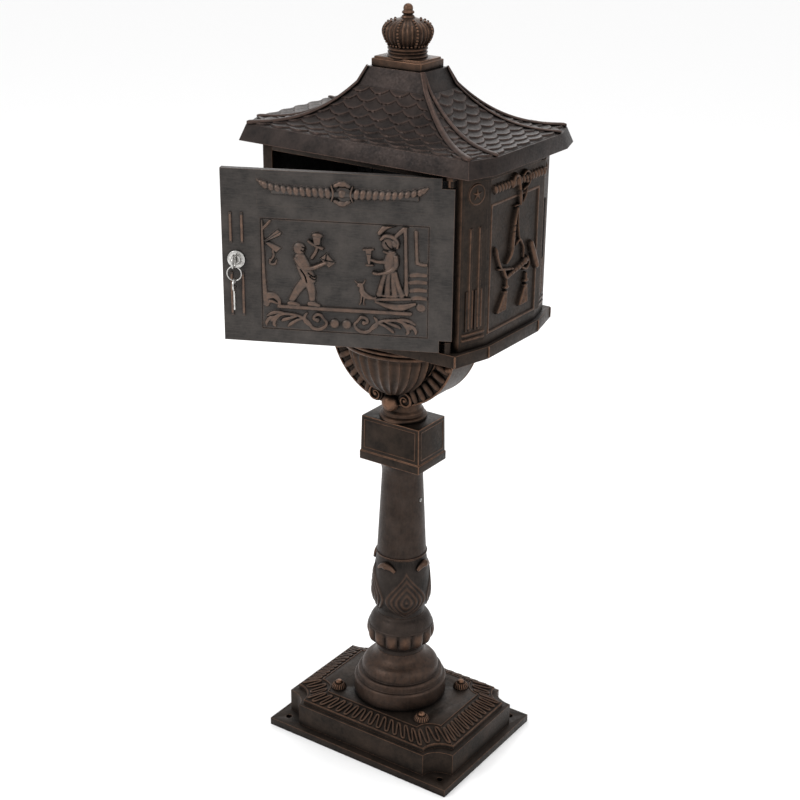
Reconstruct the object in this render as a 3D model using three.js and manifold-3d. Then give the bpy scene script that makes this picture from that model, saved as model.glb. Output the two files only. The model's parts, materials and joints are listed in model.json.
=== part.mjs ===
// A cast pedestal drop box: ornamental base and column, a half-round bracket, an octagonal box
// with a lockable side-hinged door, and a pagoda roof that lifts at its rear edge.
// Millimetres, +Z up. The origin is on the ground, on the axis of the column. The front is -Y.
import * as THREE from "three";
import { mergeVertices } from "three/addons/utils/BufferGeometryUtils.js";
import Module from "manifold-3d";

const wasm = await Module();
wasm.setup();

// ---------------------------------------------------------------- driving dimensions
const GAP = 0.3; // running clearance between neighbours
const WALL = 4.5; // casting wall of the box
const ROUND = 24; // sides of a turned casting
const SMALL = 14; // sides of a boss, bow or hole
const FINE = 12; // sides of a small screw or pin
const HEX = 6; // sides of a nut

const FLANGE = { x: 168, y: 124.5, top: 12 }; // half width, half depth
const ANCHOR = { x: 146, y: 104.5, r: 5 };
const PLINTH = { x: 156.5, y: 111.7, top: 48, scoopX: 37, scoopY: 26.5 };
const STEP = { inset: 7, rise: 0.4, top: 54, scoopX: 34, scoopY: 32 };
const PLATEAU = { x: 113, y: 77.5, z: 68, scoopX: 28, scoopY: 24 };
const BASE_WALL = 6;
const BASE_RIB = { half: 3, shortOfPlateau: 4, shortOfPlinth: 3 }; // the ribs under the base
const BOSS_R = 16;
const ROSETTE = { x: 80, y: 57, r: 12.5, shank: 3, shankLength: 12 };

const FOOT_TOP = 147;
const BEAD_TOP = 214;
const VASE_TOP = 316;
const SHAFT_TOP = 472.6;
const BLOCK_TOP = 543.3;
const LIP = { x: 53.8, y: 37.3, top: 486.5 };
const BLOCK = { x: 52.6, y: 36.1, topX: 51.5, topY: 35.2, wall: 6 };
const STEM = { r: 24, bottom: 385, bore: 20 };
const SET_SCREW = { r: 2.6, z: 412, end: 34.2, socket: 1.4, socketFloor: 32.4 };
const ROD = { r: 6, bottom: 22, top: 597 };
const ROD_WASHER = { r: 13, hole: 6.6, t: 2 };
const ROD_NUT = { r: 10.5, height: 10 };

const BOWL = { radius: 110, centreZ: 682, halfDepth: 32, wall: 6, top: 710 };
const BULGE = { reach: 52, halfWidth: 75.8, rimZ: 663, bottomZ: 590, topZ: 692, wall: 5 };
const PAD = { x: 70, deep: 8 }; // the pads inside the bracket that the tray bolts pass through
const COLLAR_HEIGHT = 38; // the turned collar of the bracket, up to the seat of the rod's washer
const BALL = { r: 13.5, out: 1.5, z: 575.5 };
const VOLUTE = { x: 26, z: 584.5, r: 12, out: 3 };
const TRAY_BOLT = { x: 84, y: 22, r: 3, head: 6, headHeight: 4, tip: 698 };

const TRAY = { frontX: 169.5, sideX: 185, sideY: 67.5, y: 129, bottom: 696.4, top: 714, floor: 4, rim: 5 };
const SILL_TOP = 721;
const BODY = { frontX: 165, sideX: 179, sideY: 66, y: 114, bottom: 714, top: 958.6 };
const OPENING_X = 149;
const BODY_SCREW = { x: 160.5, y: 95, r: 2.2, head: 4.2, headHeight: 3, tip: 730, boss: 6, bossHeight: 22 };
const HEADER_Z = 946;
const SLOT_PLATE = { z: 950, t: 3, slotX: 130, slotY0: -96, slotY1: -58 };
const SLOT_PLATE_PLAN = { frontX: 157, sideX: 173, sideY: 64, y: 102 };
const LEDGE = { x: 166, y: 48, z: 940, half: 8, inner: 7 };
const TAB = { t: 4, x: 159 }; // the tabs of the back panel and the header
const TAB_SCREW = { x: 154, r: 2, head: 4, headHeight: 2.2, tipCover: 1.6, holeCover: 1.2 };
const PLATE_SCREW = { head: 3.8, headHeight: 2, length: 7 };
const HEADER_SCREW_Z = 952;
const BACK_SCREW_Z = [750, 920];
const PANEL = { y: 60, z0: 733, z1: 907, deep: 1.5 }; // the recess in a side panel
const STAR_DISC = { r: 13, z: 929 };
const RODS = { low: 742, long: 884, short: 798, half: 1.7, at: [-9, 7], apart: 6 };
const FOOT_BARS = { at: [728, 735], height: 3.6, half: 18 };
const RELIEF = 1.6; // height of the raised work on the corner posts

const EAVE_LOW = { frontX: 188.6, sideX: 203, sideY: 94.3, y: 137.6, z: 958.9 };
const EAVE_TOP = { frontX: 182.5, sideX: 199, sideY: 85, y: 128, z: 981 };
const NECK_LOW = { frontX: 56, sideX: 58.2, sideY: 32.5, y: 38.8, z: 1039 };
const NECK_TOP = { frontX: 45, sideX: 46, sideY: 29.5, y: 31, z: 1062.4 };
const ROOF_CURVE = 2.5; // power of the hollow curve from the neck down to the eaves
const ROOF_LEVELS = 7;
const SOFFIT = { x: 170, y: 106, t: 3.5 };
const ROOF_PIVOT = { y: 128, z: 954.5, r: 4, pin: 2, x: 110, pinHalf: 7, boreHalf: 8 };
const KNUCKLE = 4; // width of a roof hinge knuckle, and of each lug beside it
const BACK_HOLLOW = { short: 14, low: 724, belowTop: 10 };

const PLATE = { x: 41, y: 28, z: 1062.4, step: 1073.4, top: 1076.3, inset: 2.6 };
const CROWN_TOP = 1147;
const STUD = { r: 3, reach: 28, below: 9, nut: 6 };

const HINGE = { x: 152.5, y: -121.5, pin: 2.2, lug: 4.8, lowLugTop: 729.5, pinDeep: 8, armLow: 951 };
const DOOR_AJAR = THREE.MathUtils.degToRad(25.5);
const DOOR = { left: -306, right: 6, bottom: 714.5, top: 953.8, front: -4, lip: 6, rim: 4 };
const DOOR_RIM_RIGHT = -12; // the folded rim stops short of the hinge
const DOOR_STILE = { left: -6, back: 3 }; // the thick edge that the hinge pins run in
const NOTCH = { x: -11, low: 731.5, high: 940 };
const PIN_TOP = 955.5;
const PICTURE = { x0: -253, x1: -26, z0: 734, z1: 889, line: 1.4, deep: 0.8 };
const GARLAND = { x0: -236, x1: -41, z: 926, r: 4.5, boss: 9.5, bossOut: 2.5 };
const DOOR_BARS = { at: [-293.5, -278], half: 1.6, spans: [[853, 895], [751, 812]] };
const LOCK = { x: -286.5, z: 830, flange: 12.2, body: 9, plug: 6 };
const LOCK_LENGTH = 13; // how far the barrel reaches behind the skin of the door
const LOCK_NUT = { r: 13.5, t: 4.5 };
const CAM_SQUARE = { half: 3.2, holeHalf: 3.5, long: 2.8 }; // the plug's square end and the cam on it
const CAM = { gap: 0.6, t: 2 };
const CAM_SCREW = { r: 1.6, bore: 1.9, head: 5.5, headHeight: 2, tip: 9 };
const KEYWAY = { half: 3.9, end: 6.5 };
const KEY = { y: -18, bow: 10, hole: 4, t: 2, bladeHalf: 3.4, tip: 6 };
const KEY_HOLE_Z = -3.6;
const RING = { r: 10, wire: 0.8, lift: 0.6 }; // lift clears the edge of the bow as the key turns
const RING_Z = KEY_HOLE_Z - KEY.hole + RING.wire + RING.lift - RING.r;
const SPARE = { bow: 9, hole: 2.6, holeToBow: 4, length: 40 };

// ---------------------------------------------------------------- materials
function finish(color, metalness, roughness) {
  return new THREE.MeshStandardMaterial({ color, metalness, roughness });
}
const bronze = finish(0x3b2a20, 0.75, 0.5);
const doorBronze = finish(0x45403a, 0.7, 0.55);
const inside = finish(0x0c0c0d, 0.1, 0.8);
const steel = finish(0x8d9094, 0.9, 0.4);
const chrome = finish(0xc9ccd0, 1.0, 0.2);

// ---------------------------------------------------------------- shape helpers
function solid(geometry) {
  const bare = geometry.clone();
  bare.deleteAttribute("normal");
  bare.deleteAttribute("uv");
  const merged = mergeVertices(bare, 1e-4);
  const vertProperties = merged.attributes.position.array;
  const triVerts = new Uint32Array(merged.index.array);
  return new wasm.Manifold(new wasm.Mesh({ numProp: 3, vertProperties, triVerts }));
}

function join(...solids) {
  return solids.reduce((whole, piece) => whole.add(piece));
}

function cut(body, ...tools) {
  return tools.reduce((rest, tool) => rest.subtract(tool), body);
}

// A box between two corners.
function block(x0, x1, y0, y1, z0, z1) {
  const g = new THREE.BoxGeometry(x1 - x0, y1 - y0, z1 - z0);
  g.translate((x0 + x1) / 2, (y0 + y1) / 2, (z0 + z1) / 2);
  return solid(g);
}

// An upright cylinder.
function post(r, z0, z1, x = 0, y = 0, sides = SMALL) {
  const g = new THREE.CylinderGeometry(r, r, z1 - z0, sides);
  g.rotateX(Math.PI / 2);
  g.translate(x, y, (z0 + z1) / 2);
  return solid(g);
}

// An upright hexagon nut on the axis.
function hexNut(r, z0, z1, bore) {
  return cut(post(r, z0, z1, 0, 0, HEX), post(bore, z0 - 1, z1 + 1, 0, 0, FINE));
}

// A cylinder along Y.
function barY(r, y0, y1, x, z, sides = SMALL) {
  const g = new THREE.CylinderGeometry(r, r, y1 - y0, sides);
  g.translate(x, (y0 + y1) / 2, z);
  return solid(g);
}

// A cylinder along X.
function barX(r, x0, x1, y, z, sides = SMALL) {
  const g = new THREE.CylinderGeometry(r, r, x1 - x0, sides);
  g.rotateZ(Math.PI / 2);
  g.translate((x0 + x1) / 2, y, z);
  return solid(g);
}

// A turned body about Z from [radius, height] points.
function turned(profile, sides = ROUND) {
  const points = profile.map(([r, z]) => new THREE.Vector2(r, z));
  const g = new THREE.LatheGeometry(points, sides);
  g.rotateX(Math.PI / 2);
  return solid(g);
}

// A turned ring or tube: the profile closes on itself.
function turnedRing(profile, sides = ROUND) {
  return turned([...profile, profile[0]], sides);
}

function outline(points) {
  return new THREE.Shape(points.map(([x, y]) => new THREE.Vector2(x, y)));
}

// An upright prism over a plan outline.
function prism(points, z0, z1) {
  const g = new THREE.ExtrudeGeometry(outline(points), { depth: z1 - z0, bevelEnabled: false });
  g.translate(0, 0, z0);
  return solid(g);
}

// A prism along Y over an outline given as [x, z] points.
function prismY(points, y0, y1) {
  const g = new THREE.ExtrudeGeometry(outline(points), { depth: y1 - y0, bevelEnabled: false });
  g.rotateX(Math.PI / 2);
  g.translate(0, y1, 0);
  return solid(g);
}

// Skins a stack of flat rings, lowest first, each anticlockwise from above, and caps both ends.
function loft(rings) {
  const n = rings[0].length;
  const index = [];
  for (let k = 0; k + 1 < rings.length; k++) {
    for (let i = 0; i < n; i++) {
      const j = (i + 1) % n;
      const low = k * n;
      const high = low + n;
      index.push(low + i, low + j, high + j, low + i, high + j, high + i);
    }
  }
  const capAt = (ring, base, up) => {
    const flat = ring.map(([x, y]) => new THREE.Vector2(x, y));
    for (const [a, b, c] of THREE.ShapeUtils.triangulateShape(flat, [])) {
      const area = THREE.ShapeUtils.area([flat[a], flat[b], flat[c]]);
      const face = area > 0 === up ? [a, b, c] : [a, c, b];
      index.push(...face.map((v) => v + base));
    }
  };
  capAt(rings[0], 0, false);
  capAt(rings[rings.length - 1], (rings.length - 1) * n, true);
  const g = new THREE.BufferGeometry();
  g.setAttribute("position", new THREE.Float32BufferAttribute(rings.flat(2), 3));
  g.setIndex(index);
  return solid(g);
}

function rectangle(x, y) {
  return [[x, -y], [x, y], [-x, y], [-x, -y]];
}

// The plan of the box: flat front and back, and each side in three facets.
function octagon({ frontX, sideX, sideY, y }, inset = 0) {
  const fx = frontX - inset;
  const sx = sideX - inset;
  const sy = sideY - inset * 0.15;
  const yy = y - inset;
  return [[fx, -yy], [sx, -sy], [sx, sy], [fx, yy], [-fx, yy], [-sx, sy], [-sx, -sy], [-fx, -yy]];
}

function atHeight(points, z) {
  return points.map(([x, y]) => [x, y, z]);
}

// A rectangle whose corners are hollow quarter arcs.
function scooped(x, y, scoopX, scoopY) {
  const steps = 5;
  const points = [];
  for (const [sx, sy] of [[1, 1], [-1, 1], [-1, -1], [1, -1]]) {
    for (let i = 0; i <= steps; i++) {
      const a = ((sx * sy > 0 ? i : steps - i) / steps) * (Math.PI / 2);
      points.push([sx * (x - scoopX * Math.sin(a)), sy * (y - scoopY * Math.cos(a))]);
    }
  }
  return points;
}

// ---------------------------------------------------------------- scene graph helpers
const part = new THREE.Group();

function addPiece(name, body, material, parent = part) {
  const { numProp, vertProperties, triVerts } = body.getMesh();
  const position = new THREE.Float32BufferAttribute(vertProperties, numProp);
  const indexed = new THREE.BufferGeometry().setAttribute("position", position);
  indexed.setIndex(new THREE.BufferAttribute(triVerts, 1));
  const flatShaded = indexed.toNonIndexed();
  flatShaded.computeVertexNormals();
  const mesh = new THREE.Mesh(flatShaded, material);
  mesh.name = name;
  parent.add(mesh);
  return mesh;
}

const CORNERS = [[-1, -1], [1, -1], [1, 1], [-1, 1]];

// ---------------------------------------------------------------- pedestal
function basePlate() {
  const { x, y, top, scoopX, scoopY } = PLINTH;
  const shell = (inset, z0, zTop) => {
    const wall = scooped(x - inset, y - inset, scoopX, scoopY);
    const edge = inset + STEP.inset;
    const stepped = scooped(x - edge, y - edge, STEP.scoopX, STEP.scoopY);
    const flat = scooped(PLATEAU.x - inset, PLATEAU.y - inset, PLATEAU.scoopX, PLATEAU.scoopY);
    const drop = PLATEAU.z - zTop;
    return loft([
      atHeight(wall, z0),
      atHeight(wall, top - drop),
      atHeight(stepped, top - drop + STEP.rise),
      atHeight(stepped, STEP.top - drop),
      atHeight(flat, zTop),
    ]);
  };
  const flange = prism(rectangle(FLANGE.x, FLANGE.y), 0, FLANGE.top);
  const hollow = shell(BASE_WALL, -1, PLATEAU.z - BASE_WALL);
  const ribZ = PLATEAU.z - BASE_WALL + 1;
  const { half, shortOfPlateau, shortOfPlinth } = BASE_RIB;
  const highX = PLATEAU.x - shortOfPlateau;
  const highY = PLATEAU.y - shortOfPlateau;
  const lowX = x - shortOfPlinth;
  const lowY = y - shortOfPlinth;
  const ribs = [
    block(-highX, highX, -half, half, 0, ribZ),
    block(-half, half, -highY, highY, 0, ribZ),
    block(-lowX, lowX, -half, half, 0, top - BASE_WALL),
    block(-half, half, -lowY, lowY, 0, top - BASE_WALL),
  ];
  const holes = CORNERS.flatMap(([sx, sy]) => [
    post(ANCHOR.r, -1, FLANGE.top + 1, sx * ANCHOR.x, sy * ANCHOR.y),
    post(ROSETTE.shank + GAP, 40, PLATEAU.z + 1, sx * ROSETTE.x, sy * ROSETTE.y),
  ]);
  const outside = join(flange, shell(0, FLANGE.top - 2, PLATEAU.z));
  const body = join(cut(outside, hollow), ...ribs, post(BOSS_R, 0, ribZ, 0, 0, ROUND));
  return cut(body, ...holes, post(ROD.r + GAP, ROD.bottom - 2, PLATEAU.z + 1));
}

function rosette() {
  const z = PLATEAU.z;
  const { r, shank, shankLength } = ROSETTE;
  return turned([
    [0, z - shankLength], [shank, z - shankLength], [shank, z], [r, z], [r, z + 2], [r - 4, z + 8],
    [5.4, z + 8.6], [4.8, z + 12], [0, z + 13.5],
  ], SMALL);
}

function columnFoot() {
  const z = PLATEAU.z;
  return turnedRing([
    [73, z], [73, 95], [71, 97.5], [67.5, 97.5], [67.5, 106.5], [65.5, 109], [60, 109], [60, 118],
    [59, 121.5], [54.5, 127], [47.5, 131], [42, 135.5], [38.6, 141], [37, FOOT_TOP],
    [31, FOOT_TOP], [34.5, 136], [44, 125], [54, 106], [61, 92], [64, z],
  ]);
}

function beadCollar() {
  return turnedRing([
    [37, FOOT_TOP], [37.5, 156], [44, 161], [50, 168], [53, 176], [53.3, 184], [51, 191], [48.5, 199],
    [43.5, 207], [38.5, 211], [37.2, BEAD_TOP], [31, BEAD_TOP], [38, 205], [44, 194], [47, 181],
    [43, 170], [34, 162], [31, 156], [31, FOOT_TOP],
  ]);
}

function leafVase() {
  return turnedRing([
    [37.2, BEAD_TOP], [37.5, 223], [42.5, 231], [46.3, 241], [47, 251], [45.6, 270], [43.8, 290],
    [42.2, 304], [38.4, VASE_TOP], [32, VASE_TOP], [36.5, 290], [40.5, 250], [36, 234], [31, 224],
    [31, BEAD_TOP],
  ]);
}

function columnShaft() {
  const tube = turnedRing([
    [38.4, VASE_TOP], [37, 340], [31.4, 450], [32, 458], [33.8, 466], [36.6, SHAFT_TOP],
    [25.5, SHAFT_TOP], [25.5, 375], [31, 345], [32, VASE_TOP],
  ]);
  return cut(tube, barX(SET_SCREW.r + GAP, 20, 40, 0, SET_SCREW.z));
}

function setScrew() {
  const { r, z, end, socket, socketFloor } = SET_SCREW;
  return cut(barX(r, STEM.r + GAP, end, 0, z), barX(socket, socketFloor, end + 1, 0, z, HEX));
}

function squareCapital() {
  const { x, y, topX, topY, wall } = BLOCK;
  const lip = block(-LIP.x, LIP.x, -LIP.y, LIP.y, SHAFT_TOP, LIP.top);
  const upper = loft([
    atHeight(rectangle(x, y), LIP.top - 1),
    atHeight(rectangle(topX, topY), BLOCK_TOP),
  ]);
  const floorZ = SHAFT_TOP + wall + 2;
  const core = block(-x + wall, x - wall, -y + wall, y - wall, floorZ, BLOCK_TOP - wall);
  const stem = post(STEM.r, STEM.bottom, SHAFT_TOP + 1, 0, 0, ROUND);
  const bore = post(STEM.bore, STEM.bottom - 1, floorZ + 1, 0, 0, ROUND);
  return cut(join(lip, upper, stem), core, bore, post(ROD.r + 1, floorZ, BLOCK_TOP + 1));
}

// The half-round outline of the bracket, its curve at the given radius.
function bowlOutline(radius, top) {
  const steps = 16;
  const points = [[-radius, top]];
  for (let i = 0; i <= steps; i++) {
    const a = Math.PI + (Math.PI * i) / steps;
    points.push([radius * Math.cos(a), BOWL.centreZ + radius * Math.sin(a)]);
  }
  points.push([radius, top]);
  return points;
}

// One bulging half bowl, on the front face when side is -1 and on the back when it is 1.
function halfBowl(side, inset) {
  const w = BULGE.halfWidth - inset;
  const z0 = BULGE.bottomZ + inset;
  const z1 = BULGE.topZ - inset;
  const g = new THREE.LatheGeometry([
    [0, z0], [w * 0.3, z0 + 2], [w * 0.6, z0 + 15], [w * 0.82, z0 + 34], [w * 0.94, z0 + 54],
    [w, BULGE.rimZ], [w + 3, BULGE.rimZ + 8], [w + 1, z1], [0, z1],
  ].map(([r, z]) => new THREE.Vector2(r, z)), ROUND);
  g.rotateX(Math.PI / 2);
  g.scale(1, (BULGE.reach - inset) / BULGE.halfWidth, 1);
  g.translate(0, side * BOWL.halfDepth, 0);
  const outer = side * (BOWL.halfDepth + BULGE.reach + 5);
  const inner = side * (BOWL.halfDepth - BOWL.wall - 0.5);
  const keep = block(-120, 120, Math.min(outer, inner), Math.max(outer, inner), z0 - 5, z1 + 5);
  return solid(g).intersect(keep);
}

function supportBracket() {
  const { radius, halfDepth, wall, top } = BOWL;
  const shell = prismY(bowlOutline(radius, top), -halfDepth, halfDepth);
  const inner = halfDepth - wall;
  const hollow = prismY(bowlOutline(radius - wall, top + 1), -inner, inner);
  const pads = [-1, 1].map((s) => {
    const edges = [s * PAD.x, s * (radius - 1)].sort((a, b) => a - b);
    return block(edges[0], edges[1], -inner - 1, inner + 1, top - PAD.deep, top);
  });
  const z = BLOCK_TOP;
  const collar = turned([
    [0, z], [36, z], [36, z + 4], [33.5, z + 6], [31.5, z + 7], [31.5, z + 12], [27, z + 17],
    [27, z + 30], [14, z + COLLAR_HEIGHT], [0, z + COLLAR_HEIGHT],
  ]);
  const faces = [-1, 1].flatMap((side) => {
    const y0 = side < 0 ? -halfDepth - VOLUTE.out : halfDepth - 1;
    const ball = new THREE.SphereGeometry(BALL.r, FINE, 8);
    ball.translate(0, side * (halfDepth + BALL.out), BALL.z);
    const volutes = [-1, 1].map((s) =>
      barY(VOLUTE.r, y0, y0 + VOLUTE.out + 1, s * VOLUTE.x, VOLUTE.z));
    return [solid(ball), ...volutes];
  });
  const bolts = CORNERS.map(([sx, sy]) =>
    post(TRAY_BOLT.r + GAP, top - PAD.deep - 1, top + 1, sx * TRAY_BOLT.x, sy * TRAY_BOLT.y));
  const body = join(shell, halfBowl(-1, 0), halfBowl(1, 0));
  const open = cut(body, hollow, halfBowl(-1, BULGE.wall), halfBowl(1, BULGE.wall));
  return cut(join(open, ...pads, collar, ...faces), ...bolts, post(ROD.r + 1, z - 1, z + COLLAR_HEIGHT + 2));
}

part.name = "drop_box";
addPiece("base_plate", basePlate(), bronze);
CORNERS.forEach(([sx, sy], i) => {
  const piece = addPiece("base_rosette_" + (i + 1), rosette(), bronze);
  piece.position.set(sx * ROSETTE.x, sy * ROSETTE.y, 0);
});
addPiece("column_foot", columnFoot(), bronze);
addPiece("bead_collar", beadCollar(), bronze);
addPiece("leaf_vase", leafVase(), bronze);
addPiece("column_shaft", columnShaft(), bronze);
addPiece("capital_set_screw", setScrew(), steel);
addPiece("square_capital", squareCapital(), bronze);
addPiece("tie_rod", post(ROD.r, ROD.bottom, ROD.top, 0, 0, FINE), steel);
addPiece("support_bracket", supportBracket(), bronze);

const washerSeat = BLOCK_TOP + COLLAR_HEIGHT;
const nutSeat = washerSeat + ROD_WASHER.t;
addPiece("tie_rod_washer", turnedRing([[ROD_WASHER.r, washerSeat], [ROD_WASHER.r, nutSeat],
  [ROD_WASHER.hole, nutSeat], [ROD_WASHER.hole, washerSeat]], SMALL), steel);
addPiece("tie_rod_nut", hexNut(ROD_NUT.r, nutSeat, nutSeat + ROD_NUT.height, ROD.r + GAP), steel);

// ---------------------------------------------------------------- tray and body
function bottomTray() {
  const plan = octagon(TRAY);
  const pan = octagon(TRAY, TRAY.rim);
  const slab = prism(plan, TRAY.bottom, TRAY.top);
  const under = prism(pan, TRAY.bottom - 1, TRAY.top - TRAY.floor);
  const sill = block(-OPENING_X + GAP, OPENING_X - GAP, -BODY.y, -BODY.y + WALL, TRAY.top - 1, SILL_TOP);
  const lug = post(HINGE.lug, TRAY.top - 12, HINGE.lowLugTop, HINGE.x, HINGE.y);
  const holes = CORNERS.flatMap(([sx, sy]) => [
    post(TRAY_BOLT.r + GAP, TRAY.bottom, TRAY.top + 1, sx * TRAY_BOLT.x, sy * TRAY_BOLT.y),
    post(BODY_SCREW.r + GAP, TRAY.bottom, TRAY.top + 1, sx * BODY_SCREW.x, sy * BODY_SCREW.y),
  ]);
  const pinHole = post(HINGE.pin + GAP, TRAY.top - HINGE.pinDeep, HINGE.lowLugTop + 1, HINGE.x, HINGE.y);
  return cut(join(cut(slab, under), sill, lug), ...holes, pinHole);
}

// One side casting: the flat middle panel, the two angled corner posts, and short returns that
// frame the front and the back. Modelled for the right side.
function sidePanel() {
  const { frontX, sideX, sideY, y, bottom, top } = BODY;
  const x0 = OPENING_X;
  const innerX = frontX - WALL * 0.6;
  const shell = prism([
    [x0, -y], [frontX, -y], [sideX, -sideY], [sideX, sideY], [frontX, y], [x0, y],
    [x0, y - WALL], [innerX, y - WALL], [sideX - WALL, sideY],
    [sideX - WALL, -sideY], [innerX, -y + WALL], [x0, -y + WALL],
  ], bottom, top);
  const recess = block(sideX - PANEL.deep, sideX + 1, -PANEL.y, PANEL.y, PANEL.z0, PANEL.z1);
  const bosses = [-1, 1].flatMap((end) => [
    post(BODY_SCREW.boss, bottom, bottom + BODY_SCREW.bossHeight, BODY_SCREW.x, end * BODY_SCREW.y),
    block(LEDGE.x - LEDGE.inner, sideX - 2, end * LEDGE.y - LEDGE.half, end * LEDGE.y + LEDGE.half,
      LEDGE.z, SLOT_PLATE.z),
  ]);
  const drills = [-1, 1].flatMap((end) => [
    post(BODY_SCREW.r + GAP, bottom - 1, BODY_SCREW.tip + 2, BODY_SCREW.x, end * BODY_SCREW.y),
    post(TAB_SCREW.r + GAP, LEDGE.z + 1, SLOT_PLATE.z + 1, LEDGE.x, end * LEDGE.y, FINE),
    ...tabScrewHeights(end).map((z) => tabDrill(end, z)),
  ]);
  const reliefs = [-1, 1].flatMap((end) => cornerPostRelief(end));
  return cut(join(cut(shell, recess), ...reliefs, ...bosses), ...drills);
}

// The raised rods, foot bars and medallion of one angled corner post.
function cornerPostRelief(end) {
  const { frontX, sideX, sideY, y } = BODY;
  const turn = end * Math.atan((sideX - frontX) / (y - sideY));
  const place = (g) => {
    g.rotateZ(turn);
    g.translate((frontX + sideX) / 2, (end * (y + sideY)) / 2, 0);
    return solid(g);
  };
  const raised = (u0, u1, z0, z1) => {
    const g = new THREE.BoxGeometry(RELIEF + 1, u1 - u0, z1 - z0);
    g.translate((RELIEF - 1) / 2, (u0 + u1) / 2, (z0 + z1) / 2);
    return place(g);
  };
  const rod = (u, top) => raised(end * u - RODS.half, end * u + RODS.half, RODS.low, top);
  const rods = RODS.at.flatMap((u) => [rod(u, RODS.long), rod(u + RODS.apart, RODS.short)]);
  const bars = FOOT_BARS.at.map((z) => raised(-FOOT_BARS.half, FOOT_BARS.half, z, z + FOOT_BARS.height));
  const disc = new THREE.CylinderGeometry(STAR_DISC.r, STAR_DISC.r, 2 * RELIEF, SMALL);
  disc.rotateZ(Math.PI / 2);
  disc.translate(0, 0, STAR_DISC.z);
  return [...rods, ...bars, place(disc)];
}

// Screws hold the back panel at two heights, and the front header at one.
function tabScrewHeights(end) {
  return end > 0 ? BACK_SCREW_Z : [HEADER_SCREW_Z];
}

// A blind hole from inside the box into a return of the side casting.
function tabDrill(end, z) {
  const deep = end * (BODY.y - TAB_SCREW.holeCover);
  const open = end * (BODY.y - WALL - 1);
  return barY(TAB_SCREW.r + GAP, Math.min(deep, open), Math.max(deep, open), TAB_SCREW.x, z, FINE);
}

// A flat-headed screw that runs outwards through a tab into a return.
function tabScrew(end, z) {
  const head = end * (BODY.y - WALL - TAB.t - GAP);
  const tip = end * (BODY.y - TAB_SCREW.tipCover);
  const under = head - end * TAB_SCREW.headHeight;
  return join(
    barY(TAB_SCREW.r, Math.min(head, tip), Math.max(head, tip), TAB_SCREW.x, z, FINE),
    barY(TAB_SCREW.head, Math.min(head, under), Math.max(head, under), TAB_SCREW.x, z, FINE),
  );
}

// The lug at the top of the right front post, which carries the upper pin of the door.
function upperLug() {
  const { x, y, lug, armLow } = HINGE;
  const arm = block(OPENING_X, x + 6, y - 5.5, -BODY.y + 1, armLow, BODY.top);
  const boss = post(lug, NOTCH.high + 2, armLow + 1, x, y);
  return join(arm, boss);
}

// A rail or panel between the returns, with a tab behind each return. end is -1 at the front.
function betweenReturns(end, z0) {
  const span = OPENING_X - GAP;
  const back = end * (BODY.y - WALL - TAB.t);
  const faces = [end * BODY.y, back].sort((a, b) => a - b);
  const tabs = [end * (BODY.y - WALL - GAP), back].sort((a, b) => a - b);
  const drill = [back - end, end * BODY.y].sort((a, b) => a - b);
  const body = join(
    block(-span, span, faces[0], faces[1], z0, BODY.top),
    block(-TAB.x, TAB.x, tabs[0], tabs[1], z0, BODY.top),
  );
  const holes = tabScrewHeights(end).flatMap((z) => [-1, 1].map((s) =>
    barY(TAB_SCREW.r + GAP, drill[0], drill[1], s * TAB_SCREW.x, z, FINE)));
  return cut(body, ...holes);
}

// The bores of the two roof hinge pins.
function roofPinBores() {
  const { y, z, pin, x, boreHalf } = ROOF_PIVOT;
  return [-1, 1].map((s) => barX(pin + GAP, s * x - boreHalf, s * x + boreHalf, y, z, FINE));
}

function backPanel() {
  const { y, z, r, x } = ROOF_PIVOT;
  const { short, low, belowTop } = BACK_HOLLOW;
  const span = OPENING_X - short;
  const hollow = block(-span, span, BODY.y - WALL - TAB.t - 1, BODY.y - WALL, low, BODY.top - belowTop);
  const lugs = [-1, 1].flatMap((s) => [-1, 1].map((side) => {
    const x0 = s * x + side * KNUCKLE - KNUCKLE / 2;
    const x1 = x0 + KNUCKLE;
    return join(block(x0, x1, BODY.y - 1, y, z - r, z + r), barX(r, x0, x1, y, z, SMALL));
  }));
  return cut(join(cut(betweenReturns(1, BODY.bottom + GAP), hollow), ...lugs), ...roofPinBores());
}

function slotPlate() {
  const { z, t, slotX, slotY0, slotY1 } = SLOT_PLATE;
  const holes = CORNERS.map(([sx, sy]) =>
    post(TAB_SCREW.r + GAP, z - 1, z + t + 1, sx * LEDGE.x, sy * LEDGE.y, FINE));
  const slot = block(-slotX, slotX, slotY0, slotY1, z - 1, z + t + 1);
  return cut(prism(octagon(SLOT_PLATE_PLAN), z, z + t), slot, ...holes);
}

// A screw driven downwards, its head resting on the seat.
function downScrew(r, headR, headHeight, tip, seat) {
  return join(post(r, tip, seat + 0.5, 0, 0, FINE), post(headR, seat, seat + headHeight, 0, 0, FINE));
}

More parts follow.
